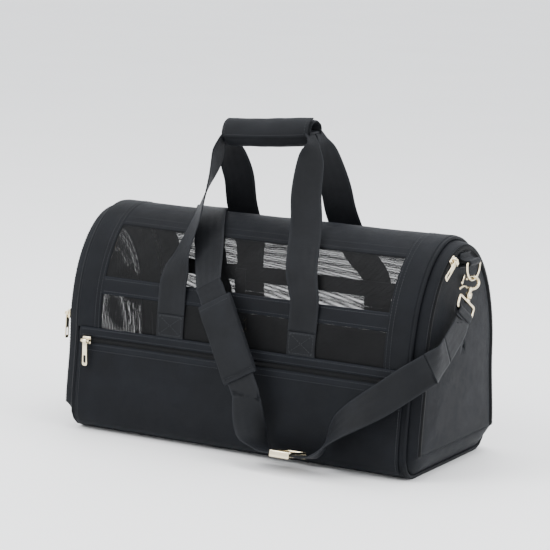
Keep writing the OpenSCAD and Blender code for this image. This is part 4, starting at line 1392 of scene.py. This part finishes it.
def handle_legs():
    """The four free lengths of webbing, from the feet up to the grip."""
    s = sizes()
    for side, word in SIDES:
        for hand, end in ENDS.items():
            leg = strap(f"handle_web_{word}_{hand}", leg_stops(side, end), s.webbing_width, s.webbing, 0.005, 0.35)
            finish_piece(leg, finish("webbing"), None, "webbing", f"handle_leg_{word}_{hand}")
            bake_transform(leg)


def sleeve_point(x, turn, r):
    """A point on the padded sleeve at an angle from +Y towards +Z, and the direction out of it."""
    puff = 0.0009 * noise.noise(Vector((x * 45, math.cos(turn) * 1.6, math.sin(turn) * 1.6)))
    middle = Vector((x, GRIP_MIDDLE.y, GRIP_MIDDLE.z + grip_rise(x)))
    out = Vector((0, math.cos(turn), math.sin(turn)))
    return middle + out * (r + puff), out


def grip():
    """The padded sleeve, closed on itself round a bore, and the layers of webbing that it holds."""
    xs = steps(GRIP_MIDDLE.x - GRIP_HALF, GRIP_MIDDLE.x + GRIP_HALF, 0.006)
    r = GRIP_R - 0.0008
    verts, uvs = [], []
    sides = 48
    inner_r = 0.0125
    rings = [(xs[0] + 0.0012, inner_r), (xs[0], inner_r + 0.0015), (xs[0], r - 0.0022), (xs[0] + 0.0012, r - 0.0006)]
    rings += [(x, r - (0.0009 if min(x - xs[0], xs[-1] - x) < 0.005 else 0.0)) for x in xs[1:-1]]
    rings += [(xs[-1] - 0.0012, r - 0.0006), (xs[-1], r - 0.0022), (xs[-1], inner_r + 0.0015),
              (xs[-1] - 0.0012, inner_r)]
    for x, radius in rings:
        for k in range(sides):
            turn = 2 * math.pi * k / sides
            verts.append(sleeve_point(x, turn, radius)[0])
            uvs.append((x, turn * radius))
    sleeve = mend(new_object("grip_sleeve", verts, ring_faces(len(rings), sides, True), uvs))
    finish_piece(sleeve, finish("pad_cloth"), "grip", "cloth", "grip_wrap")
    for x in (xs[0] + 0.005, xs[-1] - 0.005):
        sew("grip", [sleeve_point(x, 2 * math.pi * k / 40, r + 0.0001) for k in range(41)])
    layers = []
    low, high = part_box("handle_grip")
    rise = Matrix.Translation((0, 0, grip_rise(GRIP_MIDDLE.x)))
    count = 4
    for i in range(count):
        z0 = lerp(low.z, high.z, i / count) + 0.0002
        z1 = lerp(low.z, high.z, (i + 1) / count) - 0.0002
        shy = 0.0005 * (i % 2)
        layers.append(block((low.x + 0.001, low.y + shy, z0), (high.x - 0.001, high.y - shy, z1), rise, 0.0009))
    finish_piece(joined("grip_core_web", layers), finish("webbing"), "grip", "webbing", "handle_grip")
    flap()


def flap():
    """The sleeve's overlap, which opens from a seam along the top."""
    root = JOINTS["flap_open"]["pos_m"]
    start = math.atan2(root[2] - GRIP_MIDDLE.z, root[1] - GRIP_MIDDLE.y)
    x0, x1 = GRIP_LOW.x + 0.0015, GRIP_HIGH.x - 0.0015
    r = GRIP_R + 0.0006
    turns = [start + math.radians(a) for a in (0, 1, 3, 8, 16, 26, 36, 46, 56, 66, 74, 82, 87, 89, 90)]

    def spot(k, x):
        return sleeve_point(x, turns[int(k)], r)
    cover = slab("grip_flap", spot, list(range(len(turns))), steps(x0, x1, 0.006, 0.0014), 0.0019, 0.0014,
                 lambda k, x: (x, turns[int(k)] * r))
    finish_piece(cover, finish("pad_cloth"), "flap", "cloth", "wrap_flap")
    edge = turns[-1] - math.radians(9)
    sew("flap", [sleeve_point(x, edge, r + 0.0021) for x in steps(x0 + 0.004, x1 - 0.004, 0.01)])
    for x in (x0 + 0.004, x1 - 0.004):
        sew("flap", [sleeve_point(x, lerp(turns[0], edge, i / 12), r + 0.0021) for i in range(13)])


# ---------------------------------------------------------------- the shoulder strap
STRAP_CROSS_X = -0.094
PAD_LOW, PAD_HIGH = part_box("strap_pad")
PAD_MIDDLE = (PAD_LOW + PAD_HIGH) / 2
PAD_ALONG = Vector(JOINTS["pad_slide"]["axis"]).normalized()
PAD_ACROSS = Vector((PAD_ALONG.z, 0, -PAD_ALONG.x)).normalized()
PAD_OUT = PAD_ACROSS.cross(PAD_ALONG).normalized()
PAD_LENGTH = 0.094
PAD_WIDTH = 0.046
PAD_THICK = 0.009
ADJUSTER = (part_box("strap_adjuster")[0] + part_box("strap_adjuster")[1]) / 2
ADJUSTER_LEAN = math.radians(-12)
STRAP_X = abs(JOINTS["right_ring_swing"]["pos_m"][0])
SPLIT_Y = 0.097


def crown_stop(turn):
    """A stop where the strap lies over the crown, turn degrees back from the ridge."""
    side = BACK if turn > 0 else FRONT
    u = RIDGE - abs(turn)
    ny, nz = wall_normal(u)
    up = Vector((0, side * ny, nz))
    ahead = Vector((0.5, -nz, side * ny)).normalized()
    return wall_point(side, STRAP_CROSS_X - turn * 0.0009, u, 0.0024), ahead.cross(up), 1.0


def strap_stops():
    """The route from the left corner, up the back, over the ridge and down the front to the right corner."""
    V = Vector
    back = [
        (V((-STRAP_X + 0.002, SPLIT_Y + 0.0006, 0.124)), V((0, 0.4, 0.9))),
        (V((-0.226, 0.113, 0.112)), V((0.25, 0.25, 0.9))),
        (V((-0.202, 0.118, 0.090)), V((0.55, 0, 0.85))),
        (V((-0.170, 0.119, 0.076)), V((0.1, 0.3, 0.95))),
        (wall_point(BACK, -0.142, place_at(0.110), 0.014), V((-0.85, 0, 0.5))),
        (wall_point(BACK, STRAP_CROSS_X - 0.053, place_at(0.160), 0.010), V((-0.95, 0, 0.2))),
        (wall_point(BACK, STRAP_CROSS_X - 0.049, place_at(0.198), 0.005), V((-0.95, 0, 0))),
    ]
    over = [crown_stop(52 - 13 * i) for i in range(8)]
    end = PAD_LENGTH / 2 + 0.012
    lean = V((0, -math.cos(ADJUSTER_LEAN), -math.sin(ADJUSTER_LEAN)))
    at = V((0.088, -0.129, 0.019))
    front = [(PAD_MIDDLE + PAD_ALONG * d, -PAD_ACROSS) for d in (end + 0.008, end, -end, -end - 0.008)]
    front += [
        (at + V((-0.052, 0.004, 0.026)), V((-0.7, -0.5, -0.5))),
        (at + V((-0.039, 0.001, 0.007)), V((-0.2, -1, 0.1))),
        (at + V((-0.027, 0, 0)), lean), (at + V((-0.013, 0, 0)), lean),
        (at + V((0.013, 0, 0)), lean), (at + V((0.027, 0, 0)), lean),
        (at + V((0.040, 0.001, 0.010)), V((0.2, -1, 0.1))),
        (at + V((0.060, 0.006, 0.040)), V((0.5, -0.6, -0.5))),
        (V((0.194, -0.116, 0.092)), V((0.55, -0.1, -0.85))),
        (V((0.226, -0.113, 0.116)), V((0.4, 0.1, -0.9))),
        (V((STRAP_X - 0.001, -SPLIT_Y - 0.0004, 0.130)), V((0.42, 0.42, -0.8))),
    ]
    return [(p, a.normalized(), 1.0) for p, a in back] + over + [(p, a.normalized(), 1.0) for p, a in front]


def shoulder_strap():
    """The long webbing, in one length from corner to corner."""
    s = sizes()
    web = strap("shoulder_web", strap_stops(), s.webbing_width, s.webbing, 0.006, 0.15)
    finish_piece(web, finish("webbing"), "shell", "webbing", "shoulder_strap")


def strap_ends():
    """The strap from each corner to its hook, in three stretches, and the fold round the hook's loop."""
    s = sizes()
    for word, end in ENDS.items():
        place = hook_frame(word)
        foot = Vector(JOINTS[f"{word}_hook_swing"]["pos_m"])
        down = -place.col[2].to_3d()
        loop_reach = 0.0385
        tail = loop_reach + 0.0045
        corner = Vector((end * (STRAP_X - 0.001), -end * SPLIT_Y, 0.130))
        lead = foot + down * (tail + 0.014)

        def on_door(v):
            """The direction across webbing that lies flat on the door and runs along v."""
            return Vector((0, v.z, -v.y)).normalized() * end
        bend = (corner + lead) / 2 + Vector((end * 0.0005, end * 0.003, -0.003))
        route = [
            (corner, Vector((end * 0.40, end * 0.45, -0.8)).normalized(), 1.0),
            (lerp(corner, bend, 0.5) + Vector((end * 0.0012, end * 0.002, -0.001)), on_door(lead - corner), 1.0),
            (bend, on_door(lead - corner), 1.0),
            (lead, on_door(-down), 1.0),
            (foot + down * (tail + 0.005), on_door(-down), 1.0),
            (foot + down * tail, on_door(-down), 1.0),
        ]
        names = ("corner", "run", "lead")
        cuts = ((0, 2), (2, 4), (4, 5))
        bodies = (("shell", f"{word}_door"), (f"{word}_door", f"{word}_d_ring"), (f"{word}_d_ring", f"{word}_hook"))
        for part, (i, j), (a, b) in zip(names, cuts, bodies):
            piece = strap(f"strap_{part}_{word}", route_part(route, i, j), s.webbing_width, s.webbing, 0.004, 0.12)
            nodes = [f"strap_end_{word}"] if part == "run" else []
            finish_piece(piece, finish("webbing"), None, "webbing", *nodes)
            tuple(route[i][0])
            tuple(route[j][0])
            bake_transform(piece)
        fold(word, place, loop_reach, tail)


def route_part(route, i, j):
    """The stops of a route from i to j, with the bend of the whole route kept at the cuts."""
    stops = []
    for k in range(i, j):
        near = [route[max(0, min(len(route) - 1, m))] for m in (k - 1, k, k + 1, k + 2)]
        for n in range(4):
            t = n / 4
            stops.append((spline(*[m[0] for m in near], t), spline(*[m[1] for m in near], t).normalized(), 1.0))
    return stops + [route[j]]


def fold(word, place, bar_at, tail):
    """The end of the strap, folded round the loop's lower bar and back on itself."""
    s = sizes()
    r = 0.0028
    across = place.col[1].to_3d()
    stops = [(place @ Vector((0.0012, 0, -tail - 0.002)), across, 1.0),
             (place @ Vector((0.0024, 0, -bar_at - 0.002)), across, 1.0)]
    for i in range(9):
        a = math.radians(lerp(-10, 190, i / 8))
        stops.append((place @ Vector((r * math.cos(a), 0, -bar_at + r * math.sin(a))), across, 1.0))
    stops += [(place @ Vector((-0.0022, 0, -bar_at - 0.003)), across, 1.0),
              (place @ Vector((-0.0013, 0, -tail - 0.004)), across, 1.0)]
    piece = strap(f"strap_fold_{word}", stops, s.webbing_width * 0.98, s.webbing * 0.9, 0.002)
    finish_piece(piece, finish("webbing"), f"{word}_loop", "webbing")


def pad_spot(a, b, c):
    """A point of the shoulder pad from its shares across, along and out."""
    return PAD_MIDDLE + PAD_ACROSS * a + PAD_ALONG * b + PAD_OUT * c


def shoulder_pad():
    """A flat foam pad in a sewn cover: crowned faces, upright sides, and a stitched hem at each end."""
    verts, uvs, edge_highlight = [], [], []
    half_l, half_w, half_t = PAD_LENGTH / 2, PAD_WIDTH / 2, PAD_THICK / 2
    hem_rows = [0.8, 0.86, 0.885, 0.93, 0.97, 0.992, 1]
    rows = [-f for f in reversed(hem_rows)] + [i / 10 for i in range(-7, 8)] + hem_rows
    ring = []
    for i in range(44):
        a = 2 * math.pi * i / 44
        x, y = math.cos(a), math.sin(a)
        ring.append((math.copysign(abs(x) ** 0.28, x), math.copysign(abs(y) ** 0.42, y)))
    for f in rows:
        near = abs(f)
        hem = 0.52 if near > 0.995 else lerp(0.74, 0.62, smooth((near - 0.9) / 0.09)) if near > 0.9 else 0.80 \
            if near > 0.87 else 1.0
        waist = 1 - 0.018 * (1 - f * f)
        for x, y in ring:
            belly = 1 + 0.10 * (1 - x * x)
            fold = 0.0005 * noise.noise(Vector((x * 1.5, f * 5, y)))
            verts.append(pad_spot(x * half_w * waist * (1 if near < 0.99 else 0.985), f * half_l,
                                  y * half_t * hem * belly + fold))
            uvs.append((x * half_w + y * half_t, f * half_l))
            # painted highlight share, strongest at the pad's two ends
            edge_highlight.append(smooth((near - 0.95) / 0.05))
    pad = mend(new_object("shoulder_pad", verts, ring_faces(len(rows), len(ring)), uvs, edge_highlight))
    finish_piece(pad, finish("pad_cloth"), "pad", "pad_cloth", "strap_pad")
    for f in (-0.885, 0.885):
        for c, out in ((half_t * 0.82, PAD_OUT), (-half_t * 0.82, -PAD_OUT)):
            sew("pad", [(pad_spot(lerp(-0.9, 0.9, i / 12) * half_w, f * half_l, c * 1.02), out) for i in range(13)])


def adjuster():
    """The strap's three-bar adjuster: a rounded frame, two bars over the strap and one under it."""
    bar = 0.0013
    half_x, half_y = 0.011, 0.0197
    over = 0.0026
    tip = Matrix.Translation(ADJUSTER) @ Matrix.Rotation(ADJUSTER_LEAN, 4, "X")
    parts = []
    for x, z in ((-half_x, over), (half_x, over), (0, -over)):
        parts.append(tube("", [tip @ Vector((x, y * half_y, z)) for y in (-1, -0.5, 0, 0.5, 1)], bar, 12, link=False))
    for y in (-half_y, half_y):
        parts.append(block((-half_x - bar, y - bar, -over - bar), (half_x + bar, y + bar, over + bar), tip, 0.0011))
    finish_piece(joined("strap_slider", parts), finish("gold"), "shell", "hardware", "strap_adjuster")


# ---------------------------------------------------------------- inside
def inside():
    """The quilted mat and the tether, and the finishes of the board, the wires and the clip."""
    low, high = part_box("floor_mat")
    rows, cols = 25, 57

    def height(x, y):
        channel = 1.0
        for line in (-0.33, 0.0, 0.33):
            channel = min(channel, abs(y - line) / 0.06)
        for line in (-0.6, -0.2, 0.2, 0.6):
            channel = min(channel, abs(x - line) / 0.03)
        edge = min(1.0, (1 - abs(x)) / 0.05, (1 - abs(y)) / 0.12)
        return smooth(channel) * 0.25 + 0.75 * math.sqrt(max(0.0, 1 - (1 - max(0.0, edge)) ** 2))
    verts, uvs = [], []
    for sign in (1, -1):
        for i in range(rows):
            for j in range(cols):
                x, y = lerp(-1, 1, j / (cols - 1)), lerp(-1, 1, i / (rows - 1))
                h = height(x, y) if sign > 0 else 0.0
                z = low.z + 0.0008 + (high.z - low.z - 0.0008) * (0.35 + 0.65 * h) if sign > 0 else low.z
                verts.append(Vector((x * high.x, y * high.y, z)))
                uvs.append((x * high.x, y * high.y))
    mat = mend(new_object("quilted_mat", verts, sheet_faces(rows, cols), uvs))
    finish_piece(mat, finish("mat"), "mat", "mat_cloth", "floor_mat")
    for node, name in (("base_board", "board"), ("frame_wires", "steel"), ("tether_clip", "gold")):
        obj = frame["nodes"][node]
        obj.data.materials.clear()
        obj.data.materials.append(finish(name))
    tether()


def tether():
    """The safety strap that hangs inside the back wall, looped through its clip."""
    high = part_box("tether_strap")[1]
    pivot = Vector(JOINTS["tether_clip_swing"]["pos_m"])
    y = pivot.y
    across = Vector((1, 0, 0))
    r = 0.0034
    stops = [(Vector((pivot.x, high.y, high.z - 0.0008)), across, 1.0),
             (Vector((pivot.x, lerp(high.y, y, 0.6), high.z - 0.0006)), across, 1.0),
             (Vector((pivot.x, y, high.z - 0.004)), across, 1.0),
             (Vector((pivot.x, y + 0.0006, lerp(high.z, pivot.z, 0.5))), across, 1.0),
             (Vector((pivot.x, y + 0.0010, pivot.z + 0.010)), across, 1.0)]
    for i in range(9):
        a = math.radians(lerp(35, -215, i / 8))
        stops.append((Vector((pivot.x, y + r * math.cos(a), pivot.z + r * math.sin(a))), across, 1.0))
    stops.append((Vector((pivot.x, y - 0.0012, pivot.z + 0.012)), across, 1.0))
    web = strap("tether_web", stops, 0.015, 0.0014, 0.003)
    finish_piece(web, finish("webbing"), "shell", "webbing", "tether_strap")


# ---------------------------------------------------------------- the studio
def stage():
    """A wide pale floor, a soft studio light and the camera."""
    reach = 14.0
    corners = [Vector((x * reach, y * reach, -0.0003)) for x, y in ((-1, -1), (1, -1), (1, 1), (-1, 1))]
    floor = new_object("studio_floor", corners, [(0, 1, 2, 3)], [(0.0, 0.0)] * 4)
    floor.data.materials.append(finish("floor"))
    world = bpy.data.worlds.new("studio")
    world.use_nodes = True
    world.node_tree.nodes["Background"].inputs["Color"].default_value = (0.95, 0.97, 1.0, 1)
    world.node_tree.nodes["Background"].inputs["Strength"].default_value = 1.9
    bpy.context.scene.world = world
    for name, spot, aim, size, power in (
            ("key_light", (-1.3, -1.9, 2.1), (0, 0, 0.15), 1.6, 75),
            ("side_light", (2.4, -0.3, 1.4), (0.1, 0, 0.15), 1.2, 34),
            ("top_light", (0.1, 0.5, 2.4), (0, 0, 0.2), 1.6, 40)):
        light = bpy.data.lights.new(name, "AREA")
        light.shape = "SQUARE"
        light.size = size
        light.energy = power
        obj = bpy.data.objects.new(name, light)
        obj.location = spot
        obj.rotation_euler = (Vector(aim) - Vector(spot)).to_track_quat("-Z", "Y").to_euler()
        bpy.context.scene.collection.objects.link(obj)
    camera()


def camera():
    """The camera, a little above the bag and round to its right."""
    azimuth, elevation, roll = (math.radians(a) for a in (29.41, 11.33, 1.44))
    distance = 2.7906
    back = Vector((math.sin(azimuth) * math.cos(elevation), -math.cos(azimuth) * math.cos(elevation),
                   math.sin(elevation)))
    right = Vector((math.cos(azimuth), math.sin(azimuth), 0))
    up = back.cross(right)
    middle = Vector((0, 0, 0.130))
    eye = middle + back * distance
    aim = middle + up * 0.0615 - right * 0.0060
    data = bpy.data.cameras.new("camera")
    data.lens = 157.2
    data.sensor_width = 36.0
    data.clip_end = 30.0
    obj = bpy.data.objects.new("camera", data)
    look = (aim - eye).to_track_quat("-Z", "Y").to_matrix().to_4x4()
    obj.matrix_world = Matrix.Translation(eye) @ look @ Matrix.Rotation(roll, 4, "Z")
    bpy.context.scene.collection.objects.link(obj)
    bpy.context.scene.camera = obj


# ---------------------------------------------------------------- the add-on
class CARRIER_OT_barrel(Operator):
    """Builds the lower walls, the mesh windows, the bands and the piping"""
    bl_idname = "carrier.barrel"
    bl_label = "Barrel"
    bl_options = {"REGISTER", "UNDO"}

    def execute(self, context):
        lower_shell()
        windows()
        bands()
        piping()
        return {"FINISHED"}


class CARRIER_OT_ends(Operator):
    """Builds the two end panels with their zipped doors"""
    bl_idname = "carrier.ends"
    bl_label = "Ends"
    bl_options = {"REGISTER", "UNDO"}

    def execute(self, context):
        ends()
        return {"FINISHED"}


class CARRIER_OT_pocket(Operator):
    """Builds the front pocket and its zip"""
    bl_idname = "carrier.pocket"
    bl_label = "Pocket"
    bl_options = {"REGISTER", "UNDO"}

    def execute(self, context):
        pocket()
        return {"FINISHED"}


class CARRIER_OT_handles(Operator):
    """Builds the carrying handles and their padded grip"""
    bl_idname = "carrier.handles"
    bl_label = "Handles"
    bl_options = {"REGISTER", "UNDO"}

    def execute(self, context):
        handle_bases()
        handle_legs()
        grip()
        return {"FINISHED"}


class CARRIER_OT_strap(Operator):
    """Builds the shoulder strap, its pad and its adjuster"""
    bl_idname = "carrier.strap"
    bl_label = "Shoulder strap"
    bl_options = {"REGISTER", "UNDO"}

    def execute(self, context):
        shoulder_strap()
        strap_ends()
        shoulder_pad()
        adjuster()
        return {"FINISHED"}


class CARRIER_OT_hardware(Operator):
    """Builds the zip sliders, rings, tabs, hooks and loops"""
    bl_idname = "carrier.hardware"
    bl_label = "Hardware"
    bl_options = {"REGISTER", "UNDO"}

    def execute(self, context):
        sliders()
        rings_and_hooks()
        ring_tabs()
        return {"FINISHED"}


class CARRIER_OT_inside(Operator):
    """Builds the floor mat and the tether"""
    bl_idname = "carrier.inside"
    bl_label = "Inside"
    bl_options = {"REGISTER", "UNDO"}

    def execute(self, context):
        inside()
        return {"FINISHED"}


class CARRIER_OT_sewing(Operator):
    """Builds the stitches of every seam"""
    bl_idname = "carrier.sewing"
    bl_label = "Sewing"
    bl_options = {"REGISTER", "UNDO"}

    def execute(self, context):
        finish_sewing()
        return {"FINISHED"}


class CARRIER_OT_studio(Operator):
    """Builds the floor, the lights and the camera"""
    bl_idname = "carrier.studio"
    bl_label = "Studio"
    bl_options = {"REGISTER", "UNDO"}

    def execute(self, context):
        stage()
        return {"FINISHED"}


MAKERS = [CARRIER_OT_barrel, CARRIER_OT_ends, CARRIER_OT_pocket, CARRIER_OT_handles,
          CARRIER_OT_strap, CARRIER_OT_hardware, CARRIER_OT_inside, CARRIER_OT_sewing,
          CARRIER_OT_studio]


class CARRIER_PT_panel(Panel):
    """The makers, in the order they are used"""
    bl_idname = "CARRIER_PT_panel"
    bl_label = "Pet Carrier Bag"
    bl_space_type = "VIEW_3D"
    bl_region_type = "UI"
    bl_category = "Carrier"

    def draw(self, context):
        for cls in MAKERS:
            self.layout.operator(cls.bl_idname)


CLASSES = [CarrierSizes, CarrierColours, *MAKERS, CARRIER_PT_panel]


def register():
    for cls in CLASSES:
        bpy.utils.register_class(cls)
    bpy.types.Scene.carrier_sizes = PointerProperty(type=CarrierSizes)
    bpy.types.Scene.carrier_colours = PointerProperty(type=CarrierColours)


def unregister():
    del bpy.types.Scene.carrier_colours
    del bpy.types.Scene.carrier_sizes
    for cls in reversed(CLASSES):
        bpy.utils.unregister_class(cls)


def main():
    register()
    for cls in MAKERS:
        group, name = cls.bl_idname.split(".")
        getattr(getattr(bpy.ops, group), name)()


if __name__ == "__main__":
    main()
